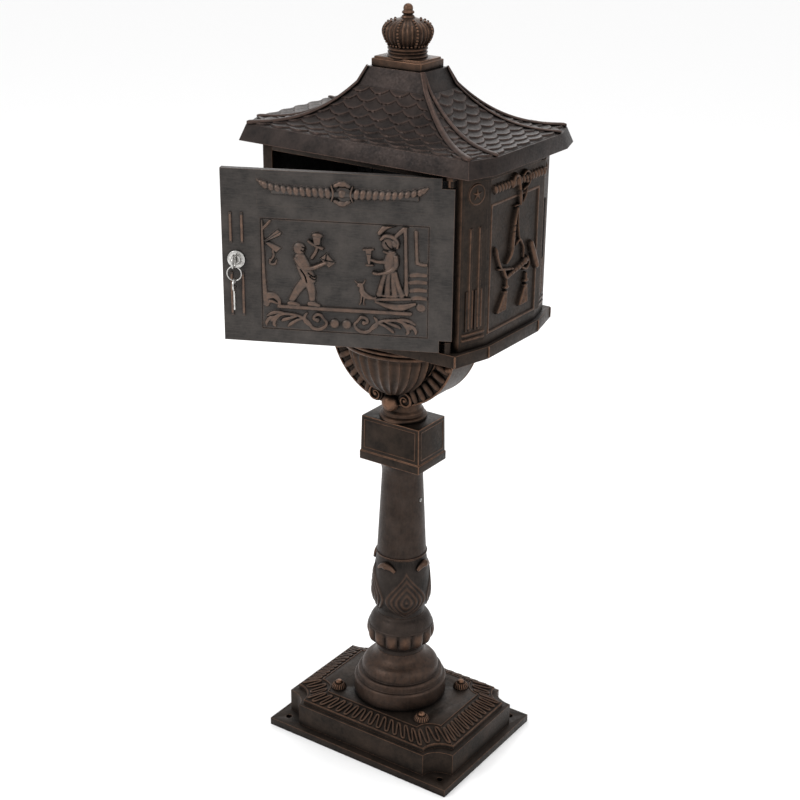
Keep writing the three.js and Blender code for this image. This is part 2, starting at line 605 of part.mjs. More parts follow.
addPiece("bottom_tray", bottomTray(), bronze);
addPiece("right_side_panel", cut(join(sidePanel(), upperLug()),
  post(HINGE.pin + GAP, NOTCH.high, PIN_TOP + 0.5, HINGE.x, HINGE.y)), bronze);
addPiece("left_side_panel", sidePanel(), bronze).scale.set(-1, 1, 1);
addPiece("back_panel", backPanel(), bronze);
addPiece("front_header", betweenReturns(-1, HEADER_Z), bronze);
addPiece("slot_plate", slotPlate(), inside);
CORNERS.forEach(([sx, sy], i) => {
  const number = i + 1;
  const { r, head, headHeight, tip } = TRAY_BOLT;
  const bolt = downScrew(r, head, headHeight, tip, TRAY.top);
  addPiece("tray_bolt_" + number, bolt, steel).position.set(sx * TRAY_BOLT.x, sy * TRAY_BOLT.y, 0);
  const seat = TRAY.top - TRAY.floor;
  const screw = join(
    post(BODY_SCREW.r, seat - 0.5, BODY_SCREW.tip, 0, 0, FINE),
    post(BODY_SCREW.head, seat - BODY_SCREW.headHeight, seat, 0, 0, FINE),
  );
  const body = addPiece("body_screw_" + number, screw, steel);
  body.position.set(sx * BODY_SCREW.x, sy * BODY_SCREW.y, 0);
  const top = SLOT_PLATE.z + SLOT_PLATE.t;
  const plateTip = SLOT_PLATE.z - PLATE_SCREW.length;
  const plateScrew = downScrew(TAB_SCREW.r, PLATE_SCREW.head, PLATE_SCREW.headHeight, plateTip, top);
  const held = addPiece("slot_plate_screw_" + number, plateScrew, steel);
  held.position.set(sx * LEDGE.x, sy * LEDGE.y, 0);
});
for (const [side, s] of [["left", -1], ["right", 1]]) {
  const [low, high] = BACK_SCREW_Z;
  addPiece("header_screw_" + side, tabScrew(-1, HEADER_SCREW_Z), steel).scale.x = s;
  addPiece("back_screw_low_" + side, tabScrew(1, low), steel).scale.x = s;
  addPiece("back_screw_high_" + side, tabScrew(1, high), steel).scale.x = s;
}

// ---------------------------------------------------------------- roof
// The plan of the roof at a share of the way from the foot of the neck down to the eaves.
function roofRing(share, inset = 0) {
  const mix = (key) => THREE.MathUtils.lerp(NECK_LOW[key], EAVE_TOP[key], share);
  const plan = { frontX: mix("frontX"), sideX: mix("sideX"), sideY: mix("sideY"), y: mix("y") };
  const rise = NECK_LOW.z - EAVE_TOP.z;
  return atHeight(octagon(plan, inset), EAVE_TOP.z + rise * (1 - share) ** ROOF_CURVE - inset);
}

function roofSolid(inset) {
  const rings = [atHeight(octagon(EAVE_LOW, inset), inset ? EAVE_LOW.z + SOFFIT.t : EAVE_LOW.z)];
  for (let i = ROOF_LEVELS; i >= 0; i--) {
    rings.push(roofRing(i / ROOF_LEVELS, inset));
  }
  rings.push(atHeight(octagon(NECK_TOP, inset), NECK_TOP.z - inset));
  return loft(rings);
}

function roofLid() {
  const { y, z, r, x } = ROOF_PIVOT;
  const mouth = block(-SOFFIT.x, SOFFIT.x, -SOFFIT.y, SOFFIT.y, EAVE_LOW.z - 1, EAVE_LOW.z + 8);
  const knuckles = [-1, 1].map((s) => {
    const x0 = s * x - KNUCKLE / 2 + GAP;
    const x1 = s * x + KNUCKLE / 2 - GAP;
    return join(block(x0, x1, y - r, y + r, z, EAVE_LOW.z + 1), barX(r, x0, x1, y, z, SMALL));
  });
  const stud = post(STUD.r + GAP, NECK_TOP.z - 10, NECK_TOP.z + 1);
  return cut(join(cut(roofSolid(0), roofSolid(WALL), mouth), ...knuckles), ...roofPinBores(), stud);
}

function finialPlate() {
  const { x, y, z, step, top, inset } = PLATE;
  const body = join(
    block(-x, x, -y, y, z, step),
    block(-x + inset, x - inset, -y + inset, y - inset, step - 1, top),
  );
  return cut(body, post(STUD.r + GAP, z - 1, top + 1));
}

function crownFinial() {
  const z = PLATE.top;
  const body = turned([
    [0, z], [28, z], [28, z + 2.5], [26, z + 4], [27.8, z + 6], [26, z + 8], [28, z + 11], [26.6, z + 14],
    [30.5, z + 20], [34.6, z + 27], [35.8, z + 34], [34.4, z + 40], [30, z + 45], [22, z + 49],
    [9.2, z + 52], [9.2, z + 55.5], [7, z + 57.5], [8.6, z + 60], [6.6, z + 62], [6.8, z + 65],
    [5.2, z + 68.5], [0, CROWN_TOP],
  ], 18);
  return cut(body, post(STUD.r + GAP, z - 1, z + STUD.reach + 2));
}

const lid = new THREE.Group();
part.add(lid);
const ceiling = NECK_TOP.z - WALL;
addPiece("roof_lid", roofLid(), bronze, lid);
addPiece("finial_plate", finialPlate(), bronze, lid);
addPiece("crown_finial", crownFinial(), bronze, lid);
addPiece("finial_stud", post(STUD.r, ceiling - STUD.below, PLATE.top + STUD.reach, 0, 0, FINE), steel, lid);
addPiece("finial_nut", hexNut(STUD.nut, ceiling - STUD.nut, ceiling, STUD.r + GAP), steel, lid);
for (const [side, s] of [["left", -1], ["right", 1]]) {
  const { y, z, pin, x, pinHalf } = ROOF_PIVOT;
  addPiece("roof_hinge_pin_" + side, barX(pin, s * x - pinHalf, s * x + pinHalf, y, z, FINE), steel);
}

// ---------------------------------------------------------------- door, on its own axis
const door = new THREE.Group();
door.position.set(HINGE.x, HINGE.y, 0);
door.rotation.z = DOOR_AJAR;
part.add(door);

function doorLeaf() {
  const { left, right, bottom, top, front, lip, rim: fold } = DOOR;
  const skin = block(left, right, front, 0, bottom, top);
  const rim = cut(
    block(left, DOOR_RIM_RIGHT, -1, lip, bottom, top),
    block(left + fold, DOOR_RIM_RIGHT - fold, -2, lip + 1, bottom + fold, top - fold),
  );
  const edge = block(DOOR_STILE.left, right, front, DOOR_STILE.back, bottom, top);
  const notch = (z0, z1) => block(NOTCH.x, right + 1, front - 1, lip + 1, z0, z1);
  const { x0, x1, z0: low, z1: high, line, deep } = PICTURE;
  const engraved = cut(
    block(x0, x1, front - 1, front + deep, low, high),
    block(x0 + line, x1 - line, front - 2, front + deep + 1, low + line, high - line),
  );
  const swagMiddle = (GARLAND.x0 + GARLAND.x1) / 2;
  const swag = barX(GARLAND.r, GARLAND.x0, GARLAND.x1, front, GARLAND.z, FINE);
  const boss = barY(GARLAND.boss, front - GARLAND.bossOut, front + 1, swagMiddle, GARLAND.z, SMALL);
  const { at, half, spans } = DOOR_BARS;
  const bars = spans.flatMap(([z0, z1]) =>
    at.map((x) => block(x - half, x + half, front - half, front + 1, z0, z1)));
  const pinBore = post(HINGE.pin + GAP, bottom - 1, top + 1);
  const lockHole = barY(LOCK.body + GAP, front - 1, 1, LOCK.x, LOCK.z, ROUND);
  const leaf = join(cut(skin, engraved), rim, edge, swag, boss, ...bars);
  return cut(leaf, notch(bottom - 1, NOTCH.low), notch(NOTCH.high, top + 1), pinBore, lockHole);
}

function lockBarrel() {
  const { flange, body, plug } = LOCK;
  const face = DOOR.front - GAP;
  const shape = join(
    barY(flange, face - 2.2, face, 0, 0, ROUND),
    barY(body, face - 1, LOCK_LENGTH, 0, 0, ROUND),
  );
  return cut(shape, barY(plug + GAP, face - 4, LOCK_LENGTH + 1, 0, 0, ROUND));
}

function lockNut() {
  const { r, t } = LOCK_NUT;
  return cut(barY(r, GAP, t, 0, 0, HEX), barY(LOCK.body + GAP, -1, t + 1, 0, 0, ROUND));
}

function lockPlug() {
  const body = barY(LOCK.plug, DOOR.front - 2.8, LOCK_LENGTH + 0.3, 0, 0, ROUND);
  const { half, long } = CAM_SQUARE;
  const square = block(-half, half, LOCK_LENGTH, LOCK_LENGTH + long, -half, half);
  const slotHalf = KEY.t / 2 + GAP;
  const keyway = block(-slotHalf, slotHalf, DOOR.front - 4, KEYWAY.end, -KEYWAY.half, KEYWAY.half);
  const screwBore = barY(CAM_SCREW.bore, CAM_SCREW.tip - 1, LOCK_LENGTH + long + 1, 0, 0, FINE);
  return cut(join(body, square), keyway, screwBore);
}

function lockCam() {
  const y0 = LOCK_LENGTH + CAM.gap;
  const y1 = y0 + CAM.t;
  const { holeHalf } = CAM_SQUARE;
  const bar = prismY([[-6, -19], [-4, -24.5], [4, -24.5], [6, -19], [6, 4], [4, 6.5], [-4, 6.5], [-6, 4]],
    y0, y1);
  return cut(bar, block(-holeHalf, holeHalf, y0 - 1, y1 + 1, -holeHalf, holeHalf));
}

function lockCamScrew() {
  const { r, head, headHeight, tip } = CAM_SCREW;
  const seat = LOCK_LENGTH + CAM_SQUARE.long + GAP;
  return join(barY(r, tip, seat + 0.5, 0, 0, FINE), barY(head, seat, seat + headHeight, 0, 0, FINE));
}

function keyBody() {
  const { y, bow, hole, t, bladeHalf, tip } = KEY;
  const disc = barX(bow, -t / 2, t / 2, y, 0, ROUND);
  const blade = block(-t / 2, t / 2, y + bow - 2, tip, -bladeHalf, bladeHalf);
  return cut(join(disc, blade), barX(hole, -t, t, y, KEY_HOLE_Z, SMALL));
}

function keyRing() {
  const g = new THREE.TorusGeometry(RING.r, RING.wire, 6, 18);
  g.rotateX(Math.PI / 2);
  g.translate(0, KEY.y, RING_Z);
  return solid(g);
}

function spareKey() {
  const { y, t, bladeHalf } = KEY;
  const hang = RING_Z - RING.r;
  const holeZ = hang + RING.wire + GAP - SPARE.hole;
  const bowZ = holeZ - SPARE.holeToBow;
  const disc = barX(SPARE.bow, -t / 2, t / 2, y, bowZ, ROUND);
  const blade = block(-t / 2, t / 2, y - bladeHalf, y + bladeHalf, hang - SPARE.length, bowZ - SPARE.bow + 2);
  return cut(join(disc, blade), barX(SPARE.hole, -t, t, y, holeZ));
}

addPiece("door", doorLeaf(), doorBronze, door);
const lock = new THREE.Group();
lock.position.set(LOCK.x, 0, LOCK.z);
door.add(lock);
addPiece("lock_barrel", lockBarrel(), chrome, lock);
addPiece("lock_nut", lockNut(), steel, lock);
addPiece("lock_plug", lockPlug(), chrome, lock);
addPiece("lock_cam", lockCam(), steel, lock);
addPiece("lock_cam_screw", lockCamScrew(), steel, lock);
addPiece("key", keyBody(), chrome, lock);
addPiece("key_ring", keyRing(), chrome, lock);
addPiece("spare_key", spareKey(), chrome, lock);
const PIN_IN_DOOR = 18; // how far each pin runs into the door's edge
const pins = [
  ["bottom", TRAY.top - HINGE.pinDeep + 1, NOTCH.low + PIN_IN_DOOR],
  ["top", NOTCH.high - PIN_IN_DOOR, PIN_TOP],
];
for (const [end, z0, z1] of pins) {
  addPiece("door_hinge_pin_" + end, post(HINGE.pin, z0, z1, 0, 0, FINE), steel)
    .position.set(HINGE.x, HINGE.y, 0);
}

export default part;
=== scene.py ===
import json
import math

import bmesh
import bpy
import numpy as np
from mathutils import Matrix, Vector

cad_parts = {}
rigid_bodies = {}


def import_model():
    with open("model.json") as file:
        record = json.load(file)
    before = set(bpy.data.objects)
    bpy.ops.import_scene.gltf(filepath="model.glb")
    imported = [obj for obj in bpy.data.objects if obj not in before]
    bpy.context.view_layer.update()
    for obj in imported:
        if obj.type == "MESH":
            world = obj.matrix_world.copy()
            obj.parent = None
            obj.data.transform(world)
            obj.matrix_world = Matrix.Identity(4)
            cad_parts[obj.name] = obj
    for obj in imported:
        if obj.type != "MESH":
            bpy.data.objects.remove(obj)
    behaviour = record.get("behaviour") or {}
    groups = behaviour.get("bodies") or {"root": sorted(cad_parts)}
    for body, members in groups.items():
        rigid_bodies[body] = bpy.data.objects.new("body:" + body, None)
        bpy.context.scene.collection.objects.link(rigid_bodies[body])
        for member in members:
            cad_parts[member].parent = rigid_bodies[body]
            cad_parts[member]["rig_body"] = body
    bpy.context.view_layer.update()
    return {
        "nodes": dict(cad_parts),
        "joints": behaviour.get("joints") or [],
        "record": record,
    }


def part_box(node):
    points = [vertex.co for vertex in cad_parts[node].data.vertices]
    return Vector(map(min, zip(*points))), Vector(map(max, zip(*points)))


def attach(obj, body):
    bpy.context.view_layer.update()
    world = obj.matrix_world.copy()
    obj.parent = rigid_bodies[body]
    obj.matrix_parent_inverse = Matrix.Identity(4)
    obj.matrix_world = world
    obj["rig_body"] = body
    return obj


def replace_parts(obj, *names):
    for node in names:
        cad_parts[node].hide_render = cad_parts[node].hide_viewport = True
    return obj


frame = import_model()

MM = 0.001
NODES = frame["nodes"]

# ---------------------------------------------------------------- sizes taken from the frame
def box_mm(node):
    low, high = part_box(node)
    return np.array(low) / MM, np.array(high) / MM


def joint_at(name):
    return next(j for j in frame["joints"] if j["name"] == name)


DOOR_PIVOT = np.array(joint_at("door_hinge")["pos_m"]) / MM
SWING = math.radians(-joint_at("door_hinge")["range_deg"][0])  # how far the door stands open
ACROSS = np.array([math.cos(SWING), math.sin(SWING), 0.0])  # along the door, away from the lock
INWARD = np.array([-math.sin(SWING), math.cos(SWING), 0.0])  # from the door's face to its back
UP = np.array([0.0, 0.0, 1.0])
DOOR_FACE = -4.0  # the door's front, measured along INWARD from the hinge axis

FOOT_Z = box_mm("column_foot")[0][2]
SIDE_X = 179.0
CORNER_X = 165.0
SIDE_Y = 66.0
FRONT_Y = 114.0
EAVE_Z = 981.0
NECK_Z = 1039.0
PLATE_TOP = box_mm("finial_plate")[1][2]
CROWN_TOP = box_mm("crown_finial")[1][2]


# ---------------------------------------------------------------- materials
def ramp(tree, source, stops):
    node = tree.nodes.new("ShaderNodeValToRGB")
    elements = node.color_ramp.elements
    while len(elements) < len(stops):
        elements.new(0.5)
    for element, (position, value) in zip(elements, stops):
        element.position = position
        element.color = (*value, 1) if isinstance(value, tuple) else (value, value, value, 1)
    tree.links.new(source, node.inputs["Fac"])
    return node.outputs["Color"]


def noise(tree, scale, detail=4.0, stretch=(1, 1, 1), rough=0.6):
    place = tree.nodes.new("ShaderNodeTexCoord")
    mapping = tree.nodes.new("ShaderNodeMapping")
    mapping.inputs["Scale"].default_value = stretch
    texture = tree.nodes.new("ShaderNodeTexNoise")
    texture.inputs["Scale"].default_value = scale
    texture.inputs["Detail"].default_value = detail
    texture.inputs["Roughness"].default_value = rough
    tree.links.new(place.outputs["Object"], mapping.inputs["Vector"])
    tree.links.new(mapping.outputs["Vector"], texture.inputs["Vector"])
    return texture.outputs["Fac"]


def maths(tree, operation, a, b=None, clamp=False):
    node = tree.nodes.new("ShaderNodeMath")
    node.operation = operation
    node.use_clamp = clamp
    for socket, value in zip(node.inputs, (a, b)):
        if value is None:
            continue
        if isinstance(value, (int, float)):
            socket.default_value = value
        else:
            tree.links.new(value, socket)
    return node.outputs[0]


def blend_colour(tree, share, a, b):
    node = tree.nodes.new("ShaderNodeMix")
    node.data_type = "RGBA"
    tree.links.new(share, node.inputs[0])
    for socket, value in ((node.inputs[6], a), (node.inputs[7], b)):
        if isinstance(value, tuple):
            socket.default_value = (*value, 1)
        else:
            tree.links.new(value, socket)
    return node.outputs[2]


def edge_mask(tree, radius, gain):
    """1 on edges and 0 on open faces: how far a rounded normal turns from the true one."""
    rounded = tree.nodes.new("ShaderNodeBevel")
    rounded.samples = 4
    rounded.inputs["Radius"].default_value = radius * MM
    true = tree.nodes.new("ShaderNodeNewGeometry")
    dot = tree.nodes.new("ShaderNodeVectorMath")
    dot.operation = "DOT_PRODUCT"
    tree.links.new(rounded.outputs["Normal"], dot.inputs[0])
    tree.links.new(true.outputs["Normal"], dot.inputs[1])
    return maths(tree, "MULTIPLY", maths(tree, "SUBTRACT", 1.0, dot.outputs["Value"]), gain, True)


def cavity(tree, distance):
    node = tree.nodes.new("ShaderNodeAmbientOcclusion")
    node.samples = 6
    node.inputs["Distance"].default_value = distance * MM
    return node.outputs["AO"]


def new_material(name):
    material = bpy.data.materials.new(name)
    material.use_nodes = True
    return material, material.node_tree, material.node_tree.nodes["Principled BSDF"]


def add_bump(tree, shader, height, strength, distance):
    bump = tree.nodes.new("ShaderNodeBump")
    bump.inputs["Strength"].default_value = strength
    bump.inputs["Distance"].default_value = distance * MM
    tree.links.new(height, bump.inputs["Height"])
    tree.links.new(bump.outputs["Normal"], shader.inputs["Normal"])


def patina(name, dark, brown, copper, rub_gain=0.9, edge_gain=2.2, streak=(1, 1, 1), metal=0.85):
    """Antique bronze: painted shade (near-black) in the hollows, brown on open faces, copper on wear and
    on painted highlights.
    """
    material, tree, shader = new_material(name)
    cloud = ramp(tree, noise(tree, 34, 5), [(0.34, 0.0), (0.68, 1.0)])
    brushed = ramp(tree, noise(tree, 210, 3, streak), [(0.36, 0.0), (0.66, 1.0)])
    base = blend_colour(tree, cloud, dark, brown)
    base = blend_colour(tree, maths(tree, "MULTIPLY", brushed, 0.45), base, brown)
    # the rub attribute carries copper wear on raised parts and edges, plus a painted highlight on the
    # narrow front of the right corner
    rub_and_highlight = tree.nodes.new("ShaderNodeAttribute")
    rub_and_highlight.attribute_name = "rub_and_highlight"
    broken = ramp(tree, noise(tree, 120, 4), [(0.3, 0.35), (0.62, 1.0)])
    raised = maths(tree, "MULTIPLY", rub_and_highlight.outputs["Fac"], rub_gain)
    edges = edge_mask(tree, 1.6, edge_gain)
    open_air = ramp(tree, cavity(tree, 9), [(0.55, 0.0), (0.96, 1.0)])
    wear_and_highlight = maths(tree, "MULTIPLY", maths(tree, "MAXIMUM", raised, edges), broken)
    wear_and_highlight = maths(tree, "MULTIPLY", wear_and_highlight, open_air, True)
    wear_and_highlight_colour = blend_colour(tree, wear_and_highlight, base, copper)
    # painted shade: the colour goes to near-black where the ambient occlusion finds hollows
    painted_shade_colour = tuple(channel * 0.3 for channel in dark)
    shade = ramp(tree, cavity(tree, 14), [(0.3, 0.0), (0.9, 1.0)])
    tree.links.new(blend_colour(tree, shade, painted_shade_colour, wear_and_highlight_colour), shader.inputs["Base Color"])
    shader.inputs["Metallic"].default_value = metal
    shader.inputs["Specular IOR Level"].default_value = 0.35
    grain = ramp(tree, noise(tree, 300, 3), [(0.3, 0.42), (0.7, 0.6)])
    tree.links.new(blend_colour(tree, wear_and_highlight, grain, (0.34, 0.34, 0.34)), shader.inputs["Roughness"])
    fine = maths(tree, "ADD", noise(tree, 620, 3), maths(tree, "MULTIPLY", brushed, 0.5))
    add_bump(tree, shader, fine, 0.32, 0.25)
    return material


BRONZE = patina("antique_bronze", (0.011, 0.009, 0.0075), (0.036, 0.025, 0.019), (0.2, 0.105, 0.064))
ROOF = patina("roof_bronze", (0.012, 0.010, 0.0095), (0.036, 0.027, 0.024), (0.17, 0.1, 0.076), 0.55)
DOOR = patina("door_bronze", (0.028, 0.026, 0.025), (0.066, 0.058, 0.053), (0.22, 0.13, 0.09), 0.9,
              1.6, (0.35, 0.35, 2.6), 0.75)
SHAFT = patina("column_bronze", (0.012, 0.010, 0.009), (0.036, 0.028, 0.024), (0.2, 0.105, 0.064),
               0.85, 2.0, (1.6, 1.6, 0.22))


# Near-black for the faces that look into the chamber and for the slot plate
def near_black_interior():
    material, tree, shader = new_material("inner_black")
    tone = ramp(tree, noise(tree, 40, 4), [(0.3, (0.004, 0.004, 0.0045)), (0.7, (0.012, 0.012, 0.013))])
    tree.links.new(tone, shader.inputs["Base Color"])
    gloss = ramp(tree, noise(tree, 180, 3), [(0.3, 0.6), (0.7, 0.82)])
    tree.links.new(gloss, shader.inputs["Roughness"])
    add_bump(tree, shader, noise(tree, 500, 3), 0.25, 0.2)
    return material


def bright_metal(name, low, high, rough_low, rough_high, scratch=(1, 1, 1)):
    material, tree, shader = new_material(name)
    tone = blend_colour(tree, ramp(tree, noise(tree, 260, 4), [(0.35, 0.0), (0.65, 1.0)]), low, high)
    # painted shade: the colour darkens to a dark grey-brown in the small hollows that the ambient
    # occlusion finds
    painted_cavity_shade = ramp(tree, cavity(tree, 3), [(0.3, 0.25), (0.9, 1.0)])
    shaded_tone = blend_colour(tree, painted_cavity_shade, (0.05, 0.045, 0.04), tone)
    tree.links.new(shaded_tone, shader.inputs["Base Color"])
    shader.inputs["Metallic"].default_value = 1.0
    gloss = ramp(tree, noise(tree, 700, 3, scratch), [(0.3, rough_low), (0.7, rough_high)])
    tree.links.new(gloss, shader.inputs["Roughness"])
    add_bump(tree, shader, noise(tree, 900, 2, scratch), 0.15, 0.1)
    return material


INNER = near_black_interior()
CHROME = bright_metal("worn_nickel", (0.36, 0.35, 0.335), (0.62, 0.61, 0.59), 0.16, 0.36)
STEEL = bright_metal("zinc_steel", (0.3, 0.29, 0.28), (0.5, 0.49, 0.47), 0.35, 0.55, (1, 1, 0.2))


# ---------------------------------------------------------------- mesh helpers
def finish_mesh(piece, material, body, sharp=38):
    mesh = piece.data
    mesh.materials.clear()
    mesh.materials.append(material)
    mesh.shade_smooth()
    mesh.set_sharp_from_angle(angle=math.radians(sharp))
    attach(piece, body)
    return piece


def add_mesh(name, points, faces, material, body, rub_and_highlight=None, sharp=38):
    """A mesh piece from points in millimetres, with an optional share of rubbing at each point."""
    mesh = bpy.data.meshes.new(name)
    mesh.from_pydata((np.asarray(points, float) * MM).tolist(), [], faces)
    if rub_and_highlight is not None:
        layer = mesh.attributes.new("rub_and_highlight", "FLOAT", "POINT")
        layer.data.foreach_set("value", np.asarray(rub_and_highlight, np.float32))
    mesh.validate()
    piece = bpy.data.objects.new(name, mesh)
    bpy.context.scene.collection.objects.link(piece)
    tidy = bmesh.new()
    tidy.from_mesh(mesh)
    bmesh.ops.recalc_face_normals(tidy, faces=tidy.faces)
    tidy.to_mesh(mesh)
    tidy.free()
    return finish_mesh(piece, material, body, sharp)


class Pile:
    """Gathers closed shapes into the points and faces of one piece."""

    def __init__(self):
        self.points = []
        self.faces = []
        self.rub_and_highlight = []

    def add(self, points, faces, rub_and_highlight):
        base = len(self.points)
        self.points.extend(np.asarray(points, float).tolist())
        self.faces.extend([tuple(v + base for v in face) for face in faces])
        self.rub_and_highlight.extend(np.broadcast_to(rub_and_highlight, len(points)).tolist())

    def make(self, name, material, body, slot="bronze_casting", sharp=38):
        return add_mesh(name, self.points, self.faces, material, body, self.rub_and_highlight, sharp)


PINHOLE = 0.02  # keeps the ends of a turned body from closing to a point
EDGE_RUB = 0.85  # how bright the rounded edges of a casting are


def refined(node, material, width=0.8, inner=None, wear_and_highlight=None):
    """A copy of a casting with rounded edges, which stands for the plain one."""
    source = NODES[node]
    body = source["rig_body"]
    mesh = source.data.copy()
    tool = bmesh.new()
    tool.from_mesh(mesh)
    bmesh.ops.remove_doubles(tool, verts=tool.verts, dist=1e-6)
    bmesh.ops.dissolve_limit(tool, angle_limit=math.radians(0.6), verts=tool.verts, edges=tool.edges)
    tool.to_mesh(mesh)
    tool.free()
    mesh.materials.clear()
    for _ in range(2):  # the bevel marks its own faces with the second of these
        mesh.materials.append(material)
    piece = bpy.data.objects.new(node + "_cast", mesh)
    bpy.context.scene.collection.objects.link(piece)
    bevel = piece.modifiers.new("edges", "BEVEL")
    bevel.width = width * MM
    bevel.segments = 2
    bevel.limit_method = "ANGLE"
    bevel.angle_limit = math.radians(32)
    bevel.use_clamp_overlap = True
    bevel.miter_outer = "MITER_ARC"
    bevel.material = 1
    shaped = bpy.data.meshes.new_from_object(
        piece.evaluated_get(bpy.context.evaluated_depsgraph_get()))
    piece.modifiers.clear()
    piece.data = shaped
    layer = shaped.attributes.new("rub_and_highlight", "FLOAT", "CORNER")
    for face in shaped.polygons:
        share = EDGE_RUB * (face.material_index == 1)
        # extra copper from the caller: a warmer tone on the finial plate, a painted highlight on the
        # right corner's front
        if wear_and_highlight:
            share = max(share, wear_and_highlight(face.center / MM, face.normal))
        for corner in face.loop_indices:
            layer.data[corner].value = share
        face.material_index = 0
    finish_mesh(piece, material, body)
    if inner:
        shaped.materials.append(INNER)
        for face in shaped.polygons:
            if inner(face.center / MM, face.normal):
                face.material_index = 1
    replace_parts(piece, node)
    return piece


def coat(node, material):
    """A plain casting whose shape is right keeps its own mesh and gets the material."""
    NODES[node].data.materials.clear()
    NODES[node].data.materials.append(material)


def quads(rows, sides, wrap=True, closed=False):
    """The faces between rows of points. wrap joins each row's ends, closed the last row to the first."""
    ends = sides if wrap else sides - 1
    return [(i * sides + k, i * sides + (k + 1) % sides, j * sides + (k + 1) % sides, j * sides + k)
            for i, j in ((i, (i + 1) % rows) for i in range(rows if closed else rows - 1))
            for k in range(ends)]


def caps(rows, sides):
    """The two faces that close a stack of rings."""
    return [tuple(range(sides))[::-1], tuple((rows - 1) * sides + k for k in range(sides))]


def tube(line, radius, sides=10, flat=1.0, across=None, closed=False):
    """Points and faces of a round bar along a line. flat thins it along the across direction."""
    line = np.asarray(line, float)
    count = len(line)
    radii = np.broadcast_to(radius, count)
    ahead = np.roll(line, -1, 0) - np.roll(line, 1, 0)
    if not closed:
        ahead[0] = line[1] - line[0]
        ahead[-1] = line[-1] - line[-2]
    ahead /= np.linalg.norm(ahead, axis=1)[:, None] + 1e-12
    hint = np.array(UP if across is None else across, float)
    hint = np.broadcast_to(hint, line.shape)
    side = np.cross(ahead, hint)
    side /= np.linalg.norm(side, axis=1)[:, None] + 1e-12
    top = np.cross(side, ahead)
    turn = np.arange(sides) * 2 * math.pi / sides
    ring = (side[:, None, :] * np.cos(turn)[None, :, None]
            + flat * top[:, None, :] * np.sin(turn)[None, :, None])
    points = (line[:, None, :] + ring * radii[:, None, None]).reshape(-1, 3)
    return points, quads(count, sides, True, closed) + ([] if closed else caps(count, sides))


def curve_through(points, steps=8):
    """A smooth line through a few points of any number of coordinates (Catmull-Rom)."""
    p = np.asarray(points, float)
    p = np.vstack([2 * p[0] - p[1], p, 2 * p[-1] - p[-2]])
    out = []
    for i in range(1, len(p) - 2):
        for t in np.arange(steps) / steps:
            a, b, c, d = p[i - 1], p[i], p[i + 1], p[i + 2]
            out.append(0.5 * (2 * b + (c - a) * t + (2 * a - 5 * b + 4 * c - d) * t * t
                              + (3 * b - a - 3 * c + d) * t ** 3))
    out.append(p[-2])
    return np.array(out)


def turned(radius_at, heights, sides=144):
    """A turned body; radius_at(angle, height) gives the radius in millimetres."""
    angles = np.arange(sides) * 2 * math.pi / sides
    points = []
    for z in heights:
        r = radius_at(angles, z)
        points.extend(np.stack([r * np.sin(angles), -r * np.cos(angles), np.full(sides, z)], 1))
    return np.array(points), quads(len(heights), sides) + caps(len(heights), sides)


def pinholed(profile):
    """The same profile with a pinhole wherever it meets the axis."""
    return [(max(r, PINHOLE), h) for r, h in profile]


def turned_profile(profile, sides=144, centre=(0, 0)):
    """A turned body from [radius, height] points."""
    profile = np.asarray(profile, float)
    angles = np.arange(sides) * 2 * math.pi / sides
    ring = np.stack([np.sin(angles), -np.cos(angles)], 1)
    xy = profile[:, None, 0:1] * ring[None]
    z = np.broadcast_to(profile[:, None, 1:2], xy.shape[:2] + (1,))
    points = np.concatenate([xy + np.array(centre), z], 2).reshape(-1, 3)
    return points, quads(len(profile), sides) + caps(len(profile), sides)


def rounded_profile(corners, radius=0.9, steps=3):
    """Rounds the corners of a turned profile, so that its edges catch the light."""
    out = [corners[0]]
    for a, b, c in zip(corners, corners[1:], corners[2:]):
        a, b, c = (np.array(p, float) for p in (a, b, c))
        before, after = a - b, c - b
        reach = min(radius, np.linalg.norm(before) * 0.45, np.linalg.norm(after) * 0.45)
        start = b + before / (np.linalg.norm(before) + 1e-9) * reach
        end = b + after / (np.linalg.norm(after) + 1e-9) * reach
        for t in np.linspace(0, 1, steps + 1):
            out.append((1 - t) ** 2 * start + 2 * t * (1 - t) * b + t * t * end)
    out.append(corners[-1])
    return [tuple(p) for p in out]


def ball(centre, radius, rings=10, sides=16):
    angles = np.arange(sides) * 2 * math.pi / sides
    points = []
    for i in range(rings + 1):
        tilt = math.pi * (i + 0.02 * (i == 0) - 0.02 * (i == rings)) / rings
        points.extend(np.stack([np.sin(tilt) * np.cos(angles), np.sin(tilt) * np.sin(angles),
                                np.full(sides, -np.cos(tilt))], 1))
    return np.array(points) * radius + np.array(centre), quads(rings + 1, sides) + caps(rings + 1, sides)


